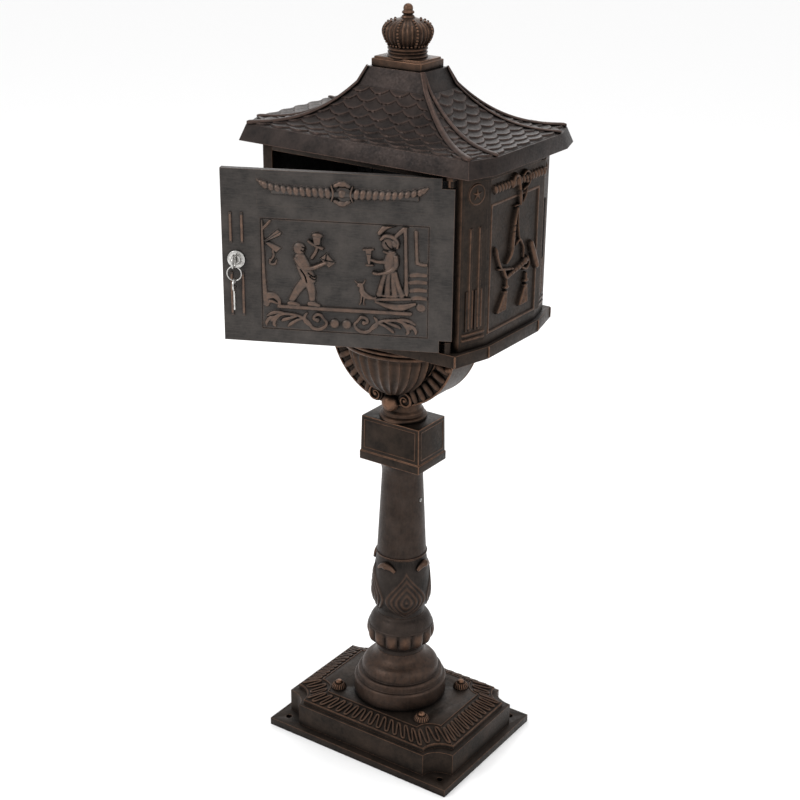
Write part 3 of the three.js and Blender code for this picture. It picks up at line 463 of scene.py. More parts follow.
# ---------------------------------------------------------------- relief on a flat face
class Relief:
    """A raised picture on a flat face: a height for each point of a grid, in millimetres."""

    def __init__(self, u0, u1, v0, v1, pitch=0.7):
        self.u = np.linspace(u0, u1, int((u1 - u0) / pitch) + 1)
        self.v = np.linspace(v0, v1, int((v1 - v0) / pitch) + 1)
        self.uu, self.vv = np.meshgrid(self.u, self.v, indexing="ij")
        self.height = np.zeros_like(self.uu)
        self.rub_and_highlight = np.zeros_like(self.uu)
        self.bulk = 1.0  # widens and raises the strokes and domes that follow

    def raise_to(self, height, inside):
        self.height = np.maximum(self.height, height)
        self.rub_and_highlight = np.maximum(self.rub_and_highlight, inside)

    def stroke(self, points, high=3.0, smooth=True, steps=6, round_top=0.5):
        """A raised stroke through (u, v, half width) points."""
        line = curve_through(points, steps) if smooth and len(points) > 2 else np.array(points, float)
        for a, b in zip(line, line[1:]):
            along = b[:2] - a[:2]
            length = along @ along + 1e-9
            t = np.clip(((self.uu - a[0]) * along[0] + (self.vv - a[1]) * along[1]) / length, 0, 1)
            away = np.hypot(self.uu - a[0] - t * along[0], self.vv - a[1] - t * along[1])
            half = (a[2] + (b[2] - a[2]) * t) * self.bulk
            share = np.clip(1 - (away / np.maximum(half, 0.2)) ** 2, 0, 1) ** round_top
            tall = high * np.minimum(1, (half / 2.4)) ** 0.6
            self.raise_to(share * tall, np.clip(share * 1.5 - 0.2, 0, 1))

    def dome(self, u, v, ru, rv=None, high=3.0, turn=0.0, round_top=0.5):
        c, s = math.cos(math.radians(turn)), math.sin(math.radians(turn))
        x, y = self.uu - u, self.vv - v
        grow = 0.5 + 0.5 * self.bulk
        away = (((x * c + y * s) / ru) ** 2 + ((y * c - x * s) / (rv or ru)) ** 2) / grow ** 2
        share = np.clip(1 - away, 0, 1) ** round_top
        self.raise_to(share * high, np.clip(share * 1.5 - 0.2, 0, 1))

    def inside_of(self, corners):
        """Distance inward from the nearest side of a convex outline."""
        corners = np.asarray(corners, float)
        middle = corners.mean(0)
        depth = np.full_like(self.uu, 1e9)
        for a, b in zip(corners, np.roll(corners, -1, 0)):
            normal = np.array([a[1] - b[1], b[0] - a[0]])
            normal /= np.linalg.norm(normal)
            if (middle - a) @ normal < 0:
                normal = -normal
            depth = np.minimum(depth, (self.uu - a[0]) * normal[0] + (self.vv - a[1]) * normal[1])
        return depth

    def plate(self, corners, high=2.0, edge=1.2, crown=0.0):
        depth = np.clip(self.inside_of(corners) / edge, 0, 1)
        lift = np.sin(depth * math.pi / 2) * high + crown * np.clip(self.inside_of(corners) / 6, 0, 1)
        self.raise_to(lift * (depth > 0), depth ** 2)

    def groove(self, points, half, deep, smooth=True):
        line = curve_through(points, 5) if smooth and len(points) > 2 else np.array(points, float)
        for a, b in zip(line, line[1:]):
            along = b - a
            length = along @ along + 1e-9
            t = np.clip(((self.uu - a[0]) * along[0] + (self.vv - a[1]) * along[1]) / length, 0, 1)
            away = np.hypot(self.uu - a[0] - t * along[0], self.vv - a[1] - t * along[1])
            cutting = np.clip(1 - (away / half) ** 2, 0, 1)
            self.height -= deep * cutting * (self.height > 0.2)
            self.rub_and_highlight *= 1 - 0.8 * cutting

    def make(self, name, origin, along, up, outward, material, body, slot, sink=0.6, lift=0.05):
        """Closes the picture with a back sunk into the casting, and puts it in place."""
        origin, along, up, outward = (np.asarray(v, float) for v in (origin, along, up, outward))
        flat = origin + self.uu[..., None] * along + self.vv[..., None] * up
        nu, nv = self.uu.shape
        border = np.zeros((nu, nv), bool)
        border[0], border[-1], border[:, 0], border[:, -1] = True, True, True, True
        height = np.where(border, -sink, self.height + lift)
        front = (flat + height[..., None] * outward).reshape(-1, 3)
        rim = [(i, 0) for i in range(nu)] + [(nu - 1, j) for j in range(1, nv)]
        rim += [(i, nv - 1) for i in range(nu - 2, -1, -1)] + [(0, j) for j in range(nv - 2, 0, -1)]
        faces = [(i * nv + j, (i + 1) * nv + j, (i + 1) * nv + j + 1, i * nv + j + 1)
                 for i in range(nu - 1) for j in range(nv - 1)]
        faces.append(tuple(i * nv + j for i, j in rim)[::-1])
        rub_and_highlight = np.where(border, 0, 0.5 * self.rub_and_highlight ** 2).reshape(-1)
        return add_mesh(name, front, faces, material, body, rub_and_highlight, 60)


# ---------------------------------------------------------------- the door
PICTURE = dict(u0=-251.4, u1=-27.6, v0=735.6, v1=887.4)  # just inside the engraved line
SCROLL_MID = -144.5


def draw_caller(relief):
    """The standing figure that lifts its hat and holds out a letter."""
    relief.stroke([(-192, 806, 6), (-203, 792, 5), (-211, 778, 4)], 3.6)
    relief.stroke([(-188, 806, 6), (-184, 792, 5), (-183, 777, 3.8)], 4.0)
    relief.stroke([(-215, 772.5, 2.6), (-209, 773, 3), (-202, 771, 2.4)], 3.2)
    relief.stroke([(-187, 773.5, 3), (-181, 773.5, 3), (-174, 772, 2.2)], 3.4)
    relief.stroke([(-199, 836, 7.5), (-194, 824, 8.5), (-189, 812, 8.5)], 5.0)
    relief.plate([(-200, 812), (-176, 814), (-177, 804), (-186, 800), (-197, 803)], 3.8, 2.5)
    relief.dome(-200, 850, 8.2, 8.4, 5.0)
    relief.stroke([(-204, 836, 3.4), (-196, 826, 3.6), (-184, 824, 3.2), (-172, 829, 2.8),
                   (-164, 833, 2.6)], 6.2)
    relief.stroke([(-183, 838, 2.4), (-178, 846, 2.4), (-176, 852, 2.2)], 4.0)
    relief.plate([(-183, 868), (-168, 870), (-170, 856), (-180, 854)], 4.6, 2.6, 1.0)
    relief.dome(-175.5, 869, 7.6, 4, 4.6)
    relief.stroke([(-187, 861, 2), (-179, 856, 2.2), (-169, 852, 2.4)], 4.6)
    relief.plate([(-163, 847), (-150, 833), (-160, 825), (-173, 838)], 3.4, 1.4)
    relief.groove([(-163, 845), (-164, 836), (-152, 834)], 0.9, 1.4, False)
    relief.groove([(-171, 838), (-164, 836)], 0.8, 1.2, False)
    relief.groove([(-198, 822), (-192, 813), (-190, 804)], 1.0, 1.6)
    relief.groove([(-188, 818), (-182, 813), (-178, 812)], 0.9, 1.3)
    relief.groove([(-186, 813), (-181, 809), (-177, 809)], 0.8, 1.2)
    relief.groove([(-216, 777), (-205, 776)], 0.7, 0.9, False)
    relief.groove([(-188, 778), (-177, 778)], 0.7, 0.9, False)
    relief.groove([(-196, 853), (-192, 851), (-194, 847), (-197, 849)], 0.7, 1.1)


def draw_hostess(relief):
    """The figure in a long dress that holds out a cup."""
    for u, foot, half in ((-84, -92, 4.2), (-79, -81, 4.6), (-74, -71, 4.6), (-71, -62, 4.2)):
        relief.stroke([(u, 824, 3.2), ((u + foot) / 2 - 0.5, 808, half - 0.6), (foot, 793.5, half)], 4.4)
    relief.stroke([(-76, 848, 7), (-78, 838, 8), (-79, 826, 5.4)], 4.8)
    relief.stroke([(-70, 846, 3.8), (-70, 834, 3.8), (-78, 826, 3.2), (-92, 822, 2.4),
                   (-99, 822.5, 2.6)], 6.0)
    relief.stroke([(-85, 838, 3), (-94, 838, 2.4), (-102, 840, 2.2)], 4.6)
    relief.plate([(-112, 854), (-101, 855), (-103, 834), (-108, 833)], 3.6, 1.8)
    relief.stroke([(-113, 853.5, 1.6), (-100.5, 854.5, 1.6)], 4.4, False)
    relief.stroke([(-109, 832.5, 1.8), (-101, 833, 1.8)], 3.8, False)
    relief.groove([(-111, 848), (-102, 848)], 0.7, 0.9, False)
    relief.dome(-81, 863, 8.6, 9.4, 4.8)
    relief.stroke([(-90, 869, 2.4), (-84, 874, 3), (-75, 873, 3), (-68, 867, 2.6), (-68, 859, 2.2)], 5.4)
    relief.dome(-72, 864, 4.6, 6.2, 6.0, 20)
    relief.stroke([(-86, 853, 1.8), (-79, 851, 2), (-72, 853, 1.8)], 5.0)
    relief.groove([(-84, 866), (-80, 860), (-76, 856)], 0.8, 1.2)
    relief.stroke([(-94, 792.5, 1.6), (-78, 791, 1.8), (-58, 794, 1.6)], 4.2)


def draw_house(relief):
    relief.stroke([(-72, 872, 2.4), (-64, 880, 3), (-56, 888, 2.4)], 3.4)
    relief.stroke([(-58, 884, 2.8), (-57, 850, 2.6), (-56, 812, 2.8), (-56, 800, 3.4),
                   (-55, 794, 2)], 3.6)
    relief.stroke([(-92, 877, 3.2), (-86, 884, 3.6), (-78, 888, 3), (-68, 889, 1.6)], 3.2)
    relief.stroke([(-44, 881, 2.5), (-43, 860, 2.3), (-42, 841, 2.5)], 2.8)
    relief.stroke([(-42, 839, 2.5), (-35, 837, 2.3), (-28, 837, 2.1)], 2.8)
    for row, (left, v) in enumerate(((-50, 821), (-51, 811), (-50, 800), (-48, 789))):
        relief.stroke([(left, v, 2.6), (-40, v + 1.5, 3), (-30 + row * 0.3, v + 1, 2.4)], 1.5)


def draw_pet(relief):
    relief.stroke([(-116, 803, 3.2), (-115, 795, 4), (-109, 789, 4), (-100, 787, 2.2),
                   (-96, 788.5, 1.2)], 3.8)
    relief.dome(-118, 804.5, 5, 3.6, 4.2, 15)
    relief.stroke([(-122, 807, 1.3), (-125, 809.5, 0.9)], 3.4, False)
    relief.stroke([(-113, 807, 1.5), (-111, 811, 0.9)], 3.6, False)
    relief.stroke([(-116, 790, 1.7), (-116.5, 782, 1.4), (-118.5, 777, 1.3)], 3.4)
    relief.stroke([(-112, 788, 1.7), (-113, 781, 1.3), (-112.5, 777, 1.2)], 3.2)


def draw_ground(relief):
    relief.stroke([(-229, 767.5, 2.4), (-140, 767.4, 2.6), (-50, 768, 2.6)], 3.6)
    relief.stroke([(-98, 785, 1.6), (-78, 787, 2.6), (-50, 788.5, 1.8)], 2.8)
    relief.stroke([(-97, 782, 1.4), (-80, 777, 3.4), (-62, 776, 4.2), (-44, 782, 2)], 3.0)
    relief.dome(-36, 777, 6.4, 5.4, 2.8, -12)
    relief.stroke([(-246, 781, 4.4), (-236, 782, 3.6), (-229, 776, 2.6), (-228, 770, 2.0)], 2.8)
    relief.stroke([(-249, 770, 2.2), (-240, 774, 2.2), (-231, 771, 1.4)], 2.4)


def draw_tree(relief):
    relief.stroke([(-251, 885, 2.2), (-250, 850, 2.6), (-249.5, 812, 3.0), (-248, 785, 3.6),
                   (-246, 770, 4.2)], 3.0)
    relief.stroke([(-250, 874, 2), (-244, 880, 2.2), (-239, 886, 1.6)], 2.4)
    relief.plate([(-248, 859), (-229, 876), (-222, 871), (-224, 866), (-247, 855)], 3.0, 2.2)
    relief.plate([(-249, 856), (-240, 858), (-222, 850), (-231, 841)], 2.8, 2.2)
    relief.groove([(-246, 858), (-226, 871)], 0.8, 0.9, False)
    relief.stroke([(-236, 846, 1.6), (-235, 838, 2), (-239, 831, 1.6)], 2.8)
    relief.stroke([(-240, 832, 1.6), (-240, 827, 1.9), (-234, 826.5, 1.9), (-231, 832, 1.5)], 3.0)


def draw_scrolls(relief):
    """Two leafy scrolls that mirror each other about a pair of berries."""
    relief.dome(SCROLL_MID - 8.2, 747.5, 6.3, 6.3, 4.2)
    relief.dome(SCROLL_MID + 8.2, 747.5, 6.3, 6.3, 4.2)
    shapes = [
        [(23, 753, 1.8), (19, 748, 2), (22, 742, 2.2), (30, 738, 2.4), (39, 740, 2.3),
         (45, 748, 2.1), (56, 755, 2),
         (67, 757, 2), (78, 757, 2.2), (88, 753, 2.2), (95, 747, 2)],
        [(23, 753, 1.8), (28, 759, 2.2), (34, 758, 2.2), (37, 753, 2), (32, 750, 2)],
        [(41, 742, 1.8), (49, 748, 1.9), (49, 756, 2.1), (46, 760, 1.4)],
        [(52, 752, 1.6), (60, 749, 1.9), (69, 743, 2.2), (72, 740, 1.4)],
        [(60, 755, 1.5), (68, 752, 2), (77, 749, 2.3), (81, 747, 1.4)],
        [(74, 757, 1.5), (84, 759, 2.2), (94, 757, 2.3), (101, 753, 1.4)],
        [(83, 755, 1.5), (90, 748, 2.2), (92, 742, 2.3), (90, 739, 1.5)],
        [(88, 753, 1.4), (97, 750, 2.3), (102, 744, 2.2), (102, 740, 1.4)],
    ]
    for side in (-1, 1):
        for shape in shapes:
            relief.stroke([(SCROLL_MID + side * u, v, half) for u, v, half in shape], 2.8, True, 5)
        relief.dome(SCROLL_MID + side * 32, 751, 3.4, 3.4, 3.2)


def door_picture():
    relief = Relief(**PICTURE, pitch=0.62)
    pieces = ((draw_ground, 1.3), (draw_tree, 1.15), (draw_house, 1.2), (draw_hostess, 1.15),
              (draw_pet, 1.15), (draw_caller, 1.25), (draw_scrolls, 1.3))
    for draw, bulk in pieces:
        relief.bulk = bulk
        draw(relief)
    relief.height *= 1.12
    place_on_door(relief, "door_picture")


def place_on_door(relief, name):
    origin = DOOR_PIVOT * np.array([1, 1, 0]) + INWARD * DOOR_FACE
    relief.make(name, origin, ACROSS, UP, -INWARD, DOOR, "door", "door_casting")


def door_garland():
    """A twisted garland that sags from both ends to a four-lobed boss."""
    relief = Relief(-258, -22, 905, 950, 0.62)
    middle = -142.0
    for side in (-1, 1):
        beads = 11
        for i in range(beads):
            t = i / (beads - 1)
            u = middle + side * (19 + 84 * t)
            v = 927 + 7 * t ** 4
            lean = -12 * side - 20 * side * t
            relief.dome(u, v, 5.6 - 0.6 * t, 8.6 - 2.0 * t, 5.4, lean, 0.6)
        relief.dome(middle + side * 107, 936, 4.2, 6.0, 4.2, -side * 48)
        relief.stroke([(middle + side * 106, 935, 3), (middle + side * 113, 940, 1.6)], 3.4, False)
        relief.stroke([(middle + side * 14, 917, 1.4), (middle + side * 11.5, 927, 2.4),
                       (middle + side * 14, 937, 1.4)], 5.0)
        for u, v in ((0, 13), (0, -13)):
            relief.dome(middle, 927 + v, 8.2, 4.6, 4.4)
        relief.dome(middle + side * 7.5, 938, 5.5, 3.4, 4.0, side * -25)
        relief.dome(middle + side * 7.5, 916, 5.5, 3.4, 4.0, side * 25)
    relief.dome(middle, 927, 9.4, 9.4, 2.6)
    relief.dome(middle, 927, 6.4, 6.4, 5.6)
    place_on_door(relief, "door_garland")


def door_bars():
    pile = Pile()
    for v0, v1 in ((853, 894), (751, 812)):
        for u in (-293.5, -278):
            foot = DOOR_PIVOT * np.array([1, 1, 0]) + ACROSS * u + INWARD * (DOOR_FACE - 0.2)
            line = [foot + UP * (v0 + (v1 - v0) * t) for t in np.linspace(0, 1, 14)]
            radii = 2.1 * np.minimum(1, np.sqrt(np.clip(np.linspace(0, 1, 14) * 12, 0.1, 1)
                                                * np.clip(12 - np.linspace(0, 1, 14) * 12, 0.1, 1)))
            pile.add(*tube(line, radii, 12, 1.0, INWARD), 0.75)
    pile.make("door_bars", DOOR, "door", "door_casting")


# ---------------------------------------------------------------- the lock
def lock_pieces():
    refined("lock_barrel", CHROME, 0.5)
    refined("lock_plug", CHROME, 0.25)
    for node in ("key", "spare_key"):
        refined(node, CHROME, 0.35)
    ring = NODES["key_ring"]
    low, high = box_mm("key_ring")
    centre = (low + high) / 2
    wire = 0.8
    mean = (high[2] - low[2]) / 2 - wire
    turn = np.arange(64) * 2 * math.pi / 64
    line = [centre + mean * (ACROSS * math.cos(a) + UP * math.sin(a)) for a in turn]
    points, faces = tube(line, wire, 12, 1.0, INWARD, True)
    piece = add_mesh("key_ring_wire", points, faces, CHROME, ring["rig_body"])
    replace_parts(piece, "key_ring")


# ---------------------------------------------------------------- the sides of the box
def draw_trophy(relief, hand):
    """Hunting gear that hangs from a twisted bar: a horn, a dagger, a flask and two tassels."""
    def at(points):
        return [(hand * p[0], *p[1:]) for p in points]

    for i in range(17):
        u = -57 + i * 8
        relief.dome(hand * u, 929.5, 4.6, 7.6, 5.2, hand * 24, 0.55)
    relief.stroke(at([(-16, 926, 3.4), (-10, 938, 3.6), (-2, 937, 3.4), (2, 926, 3.2),
                      (4, 918, 2.6)]), 6.6)
    relief.stroke(at([(12, 936, 2.2), (20, 940, 2.2), (30, 934, 2.2), (28, 922, 2.2),
                      (14, 916, 2.2)]), 6.2)
    relief.dome(hand * 22, 926, 4, 4, 7)
    relief.stroke(at([(26, 922, 1.8), (24, 908, 1.5), (16, 898, 1.3)]), 5.0)
    relief.stroke(at([(8, 914, 3.6), (9, 902, 3.8), (9, 896, 2.6)]), 4.8)
    relief.stroke(at([(-5, 896, 1.4), (12, 896, 1.4)]), 4.6, False)
    relief.stroke(at([(1, 892, 2.2), (-4, 876, 2.6), (-6, 862, 3.4), (-8, 846, 4.6),
                      (-10, 832, 3.6), (-22, 820, 1.6)]), 5.2)
    relief.groove(at([(-9, 869), (-1, 870)]), 0.9, 1.4, False)
    relief.groove(at([(-10, 861), (-1, 862)]), 0.9, 1.4, False)
    relief.stroke(at([(6, 892, 1.5), (7, 872, 1.4), (11, 850, 1.5), (18, 840, 1.6),
                      (24, 832, 1.6), (24, 818, 1.6)]), 3.6)
    relief.stroke(at([(3, 840, 1.5), (14, 845, 1.8), (22, 836, 1.6)]), 3.4)
    relief.stroke(at([(43, 833, 4.6), (52, 815, 5.6), (61, 797, 4.8)]), 6.2, True, 6, 0.42)
    relief.stroke(at([(-51, 848, 1.4), (-48, 840, 3.4), (-46, 836, 2.2)]), 4.2)
    relief.stroke(at([(-47, 836, 2.4), (-40, 822, 2.6), (-34, 814, 2.4)]), 4.2)
    relief.stroke(at([(-42, 816, 1.8), (-24, 812, 2.4), (-4, 808, 1.8)]), 4.6)
    relief.stroke(at([(-30, 812, 2.6), (-22, 800, 3.0), (-10, 802, 3.6), (12, 806, 4.2),
                      (34, 812, 3.6)]), 5.0)
    for u in (-12, -3, 6, 15):
        relief.groove(at([(u, 810), (u + 3, 798)]), 0.9, 1.3, False)
    relief.dome(hand * 28, 811, 6.4, 6, 5.8)
    relief.stroke(at([(20, 804, 2), (30, 800, 2.4), (38, 806, 2), (34, 816, 1.8)]), 5.2)
    for u, v, swing in ((-20, 786, -12), (33, 782, -6)):
        relief.stroke(at([(u, v + 10, 2.2), (u, v + 2, 2.4)]), 3.8, False)
        relief.dome(hand * u, v, 6.4, 3.4, 5.2)
        relief.dome(hand * (u + swing * 0.15), v - 7, 5.6, 3.0, 4.8)
        for k in range(5):
            foot = u + swing + (k - 2) * 4.4
            relief.stroke(at([(u + swing * 0.25 + (k - 2) * 1.6, v - 10, 2.0),
                              (foot, v - 31, 3.0)]), 4.4, False)


def draw_side_frame(relief):
    corners = [(-62, 731), (62, 731), (62, 909), (-62, 909)]
    for a, b in zip(corners, corners[1:] + corners[:1]):
        relief.stroke([(*a, 1.8), (*b, 1.8)], 1.3, False)


def side_relief(side, name):
    span = (-66, 78) if side > 0 else (-78, 66)
    relief = Relief(*span, 728, 945, 0.72)
    draw_side_frame(relief)
    draw_trophy(relief, side)
    recess = (np.abs(relief.uu) < 59.5) & (relief.vv > 733.5) & (relief.vv < 906.5)
    relief.height = np.where(recess & (relief.height < 0.05), -1.35, relief.height)
    relief.make(name, (side * SIDE_X, 0, 0), (0, 1, 0), UP, (side, 0, 0), BRONZE, "pedestal_box",
                "bronze_casting", 2.2)


def corner_relief(sx, sy, name):
    """Fluted rods, two foot bars and a star in a ring, on one angled corner of the box."""
    relief = Relief(-22, 22, 722, 946, 0.8)
    for u in (-9, 7):
        relief.stroke([(u, 746, 1.9), (u, 882, 1.9)], 2.1, False)
        relief.stroke([(u + 6, 746, 1.9), (u + 6, 797, 1.9)], 2.1, False)
    for v in (729.5, 737):
        relief.stroke([(-19, v, 1.9), (19, v, 1.9)], 2.0, False)
    ring = [(13.2 * math.cos(a), 929 + 13.2 * math.sin(a), 1.3) for a in np.linspace(0, 2 * math.pi, 41)]
    relief.stroke(ring, 2.9, False)
    for k in range(5):
        a = math.radians(90 + 72 * k)
        relief.stroke([(0, 929, 2.4), (9.6 * math.cos(a), 929 + 9.6 * math.sin(a), 0.6)], 3.8, False)
    start = np.array([sx * CORNER_X, sy * FRONT_Y, 0.0])
    end = np.array([sx * SIDE_X, sy * SIDE_Y, 0.0])
    along = (end - start) / np.linalg.norm(end - start)
    outward = np.array([abs(along[1]) * sx, abs(along[0]) * sy, 0.0])
    middle = (start + end) / 2
    relief.make(name, middle, along, UP, outward, BRONZE, "pedestal_box", "bronze_casting", 0.5)


def inside_box(centre, normal):
    """True for the faces of the box that look into the chamber."""
    x, y, z = centre
    behind = max(abs(x) - SIDE_X, abs(y) - FRONT_Y) < -3.5
    return behind and z > 715 and x * normal[0] + y * normal[1] < 0


def front_return(centre, normal):
    """The narrow front faces of the right corner, which get a painted highlight of copper."""
    return 0.5 if normal[1] < -0.9 and centre[1] < -FRONT_Y + 1 and centre[0] > 148 else 0.0


def box_shell():
    refined("left_side_panel", BRONZE, 0.7, inner=inside_box)
    # the right corner's narrow front gets a painted highlight
    refined("right_side_panel", BRONZE, 0.7, inner=inside_box, wear_and_highlight=front_return)
    refined("back_panel", BRONZE, 0.7, inner=inside_box)
    refined("front_header", BRONZE, 0.7, inner=inside_box)
    refined("bottom_tray", BRONZE, 1.4, inner=inside_box)
    coat("door", DOOR)
    coat("slot_plate", INNER)
    for side, name in ((1, "right"), (-1, "left")):
        side_relief(side, name + "_side_trophy")
    for sy, end in ((-1, "front"), (1, "back")):
        for sx, side in ((1, "right"), (-1, "left")):
            corner_relief(sx, sy, f"{end}_{side}_corner_rods")


def tray_beads():
    """The small upright ribs at the corners of the tray's sides."""
    pile = Pile()
    for sx in (-1, 1):
        for sy in (-1, 1):
            for x, y in ((185.2, 67.5), (169.7, 129)):
                line = [(sx * x * 0.9985, sy * y * 0.9985, z) for z in (697.2, 698.4, 705, 712, 713.4)]
                pile.add(*tube(line, [0.8, 1.5, 1.6, 1.5, 0.8], 10, 1.0, (0, 1, 0)), 0.85)
    pile.make("tray_corner_ribs", BRONZE, "pedestal_box")


# ---------------------------------------------------------------- the roof
NECK = dict(frontX=56.0, sideX=58.2, sideY=32.5, y=38.8)
EAVE = dict(frontX=182.5, sideX=199.0, sideY=85.0, y=128.0)
ROOF_CURVE = 2.5
TILE_WIDE, TILE_ROW = 33.0, 13.6


def roof_corner(share, index):
    mix = {k: NECK[k] + (EAVE[k] - NECK[k]) * share for k in NECK}
    fx, sx, sy, y = mix["frontX"], mix["sideX"], mix["sideY"], mix["y"]
    ring = [(fx, -y), (sx, -sy), (sx, sy), (fx, y), (-fx, y), (-sx, sy), (-sx, -sy), (-fx, -y)]
    height = EAVE_Z + (NECK_Z - EAVE_Z) * (1 - share) ** ROOF_CURVE
    return np.array([*ring[index % 8], height])


def tile_height(across, down, total):
    """Fish-scale tiles: each one swells towards its rounded lower lip and overlaps the next row."""
    best = np.zeros_like(across)
    edge = np.zeros_like(across)
    rows = int(total / TILE_ROW)
    for row in range(rows + 1):
        foot = total - 2.5 - row * TILE_ROW
        shift = 0.5 * (row % 2)
        local = ((across / TILE_WIDE + shift) % 1.0 - 0.5) * 2
        lip = foot - 8.2 * np.abs(local) ** 2.2
        above = lip - down
        inside = (above > 0) & (above < TILE_ROW + 9)
        depth = np.clip(above, 0, None)
        swell = 3.1 * np.exp(-depth / 9.5) * np.minimum(1, depth / 0.9) ** 0.5
        swell *= 1 - 0.35 * np.abs(local) ** 4
        taller = inside & (swell > best)
        best = np.where(taller, swell, best)
        edge = np.where(taller, np.clip(1.2 - above / 4.5, 0, 1), edge)
    return best, edge


def roof_facet(index, name, columns):
    """One facet of the hollow roof, from the foot of the neck to the eaves."""
    rows = 112
    shares = np.linspace(0.015, 0.985, rows)
    left = np.array([roof_corner(s, index) for s in shares])
    right = np.array([roof_corner(s, index + 1) for s in shares])
    t = np.linspace(0.0, 1.0, columns)
    grid = left[:, None] * (1 - t)[None, :, None] + right[:, None] * t[None, :, None]
    middle = grid[:, columns // 2]
    steps = np.linalg.norm(np.diff(middle, axis=0), axis=1)
    down = np.concatenate([[0], np.cumsum(steps)])
    width = np.linalg.norm(right - left, axis=1)
    across = (t[None, :] - 0.5) * width[:, None]
    shift = TILE_WIDE / 2 if index % 2 else 0
    tall, edge = tile_height(across + shift, np.broadcast_to(down[:, None], across.shape), down[-1])
    d_row = np.gradient(grid, axis=0)
    d_col = np.gradient(grid, axis=1)
    normal = np.cross(d_col, d_row)
    normal /= np.linalg.norm(normal, axis=2)[..., None]
    if normal[rows // 2, columns // 2, 2] < 0:
        normal = -normal
    near = np.minimum(t, 1 - t)[None, :] * width[:, None]
    height = 0.5 + tall * np.clip(near / 7, 0.15, 1)
    border = np.zeros_like(height, bool)
    border[0], border[-1], border[:, 0], border[:, -1] = True, True, True, True
    height = np.where(border, -1.2, height)
    points = (grid + normal * height[..., None]).reshape(-1, 3)
    under = (grid - normal * 1.3).reshape(-1, 3)
    faces = quads(rows, columns, False)
    base = len(points)
    faces += [tuple(base + v for v in face[::-1]) for face in faces]
    rim = [i * columns for i in range(rows)] + [(rows - 1) * columns + j for j in range(1, columns)]
    rim += [i * columns + columns - 1 for i in range(rows - 2, -1, -1)] + list(range(columns - 2, 0, -1))
    faces += [(a, b, base + b, base + a) for a, b in zip(rim, rim[1:] + rim[:1])]
    rub_and_highlight = np.where(border, 0, edge * 0.45).reshape(-1)
    add_mesh(name, np.vstack([points, under]), faces, ROOF, "roof",
             np.concatenate([rub_and_highlight, np.zeros(len(under))]), 55)


def roof_ribs():
    """The raised ribs over the eight hips, from the neck plate down to the eaves."""
    pile = Pile()
    neck_top = {0: (45, -31), 1: (46, -29.5), 2: (46, 29.5), 3: (45, 31),
                4: (-45, 31), 5: (-46, 29.5), 6: (-46, -29.5), 7: (-45, -31)}
    for index in range(8):
        main = index in (0, 3, 4, 7)
        line = [roof_corner(s, index) for s in np.linspace(0, 0.995, 44)]
        start = np.array([*neck_top[index], 1061.0])
        line = [start + (line[0] - start) * t for t in np.linspace(0, 0.92, 8)] + line
        line = np.array(line)
        line[:, 2] += 2.2
        half = np.linspace(3.2, 5.6, len(line)) if main else np.linspace(2.4, 4.4, len(line))
        half[-2:] *= (0.9, 0.55)
        outward = line * np.array([0.5, 0.8, 0])
        outward = outward / np.linalg.norm(outward, axis=1)[:, None] + UP * 1.4
        pile.add(*tube(line, half, 14, 0.62, outward), 0.5)
    pile.make("roof_hip_ribs", ROOF, "roof", sharp=50)


def roof():
    refined("roof_lid", ROOF, 1.0)
    refined("finial_plate", BRONZE, 1.0, wear_and_highlight=lambda centre, normal: 0.3)
    names = ["front_right", "right", "back_right", "back", "back_left", "left", "front_left", "front"]
    for index, name in enumerate(names):
        span = {1: 190, 5: 190, 3: 280, 7: 280}.get(index, 44)
        roof_facet(index, "roof_tiles_" + name, span)
    roof_ribs()


def crown():
    """A ribbed, pearled crown on turned rings, with a small turned knob."""
    z0 = PLATE_TOP
    lower = [(0, z0), (27.4, z0), (28, z0 + 1.2), (27.4, z0 + 2.6), (25.8, z0 + 3.6), (25.8, z0 + 4.4),
             (27.2, z0 + 5.4), (27.6, z0 + 6.6), (26.8, z0 + 7.8), (25.6, z0 + 8.4), (25.8, z0 + 9.2),
             (27.6, z0 + 10.4), (27.8, z0 + 12), (26.6, z0 + 13.2), (25.6, z0 + 14.6), (0, z0 + 16)]
    pile = Pile()
    pile.add(*turned_profile(lower, 96), 0.5)
    bulge = np.array([(26, 14.6), (28.6, 18), (32, 22.5), (34.4, 28), (35.4, 34), (34.2, 39.5),
                      (30.6, 44), (25, 47.4), (17, 50), (9, 51.8), (3, 52)])
    line = curve_through(bulge, 4)

    def melon(angles, height):
        r = np.interp(height, line[:, 1], line[:, 0])
        swell = 1 - 0.035 * (0.5 - 0.5 * np.cos(angles * 8 - math.pi)) ** 2
        ribs = 1 + 0.028 * np.cos(angles * 32) * np.clip((r - 8) / 20, 0, 1)
        return r * swell * ribs - 0.4

    heights = line[:, 1]
    points, faces = turned(melon, heights, 160)
    points[:, 2] += z0
    angles = np.arctan2(points[:, 0], -points[:, 1])
    pile.add(points, faces, 0.15 + 0.5 * np.clip(np.cos(angles * 32), 0, 1))
    for k in range(8):
        a = math.radians(11.25 + 45 * k)
        for r, h in line[4:-8:3]:
            centre = np.array([(r - 0.2) * math.sin(a), -(r - 0.2) * math.cos(a), z0 + h])
            pile.add(*ball(centre, 2.0, 6, 10), 0.8)
    for k in range(32):
        a = 2 * math.pi * k / 32
        pile.add(*ball((26.6 * math.sin(a), -26.6 * math.cos(a), z0 + 16), 1.9, 6, 10), 0.95)
    knob = [(0, 51), (8.6, 51.4), (9, 53), (8.2, 54.6), (6.6, 55.6), (6.8, 56.6), (8.4, 58),
            (8.4, 59.6), (7, 61),
            (6.3, 62), (6.7, 64), (6.2, 66.6), (4.6, 69), (2.4, 70.3), (0, CROWN_TOP - z0 - 0.05)]
    knob = [(r, z0 + h) for r, h in curve_through(knob, 3)]
    pile.add(*turned_profile(pinholed(knob), 48), 0.6)
    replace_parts(pile.make("crown", BRONZE, "roof"), "crown_finial")


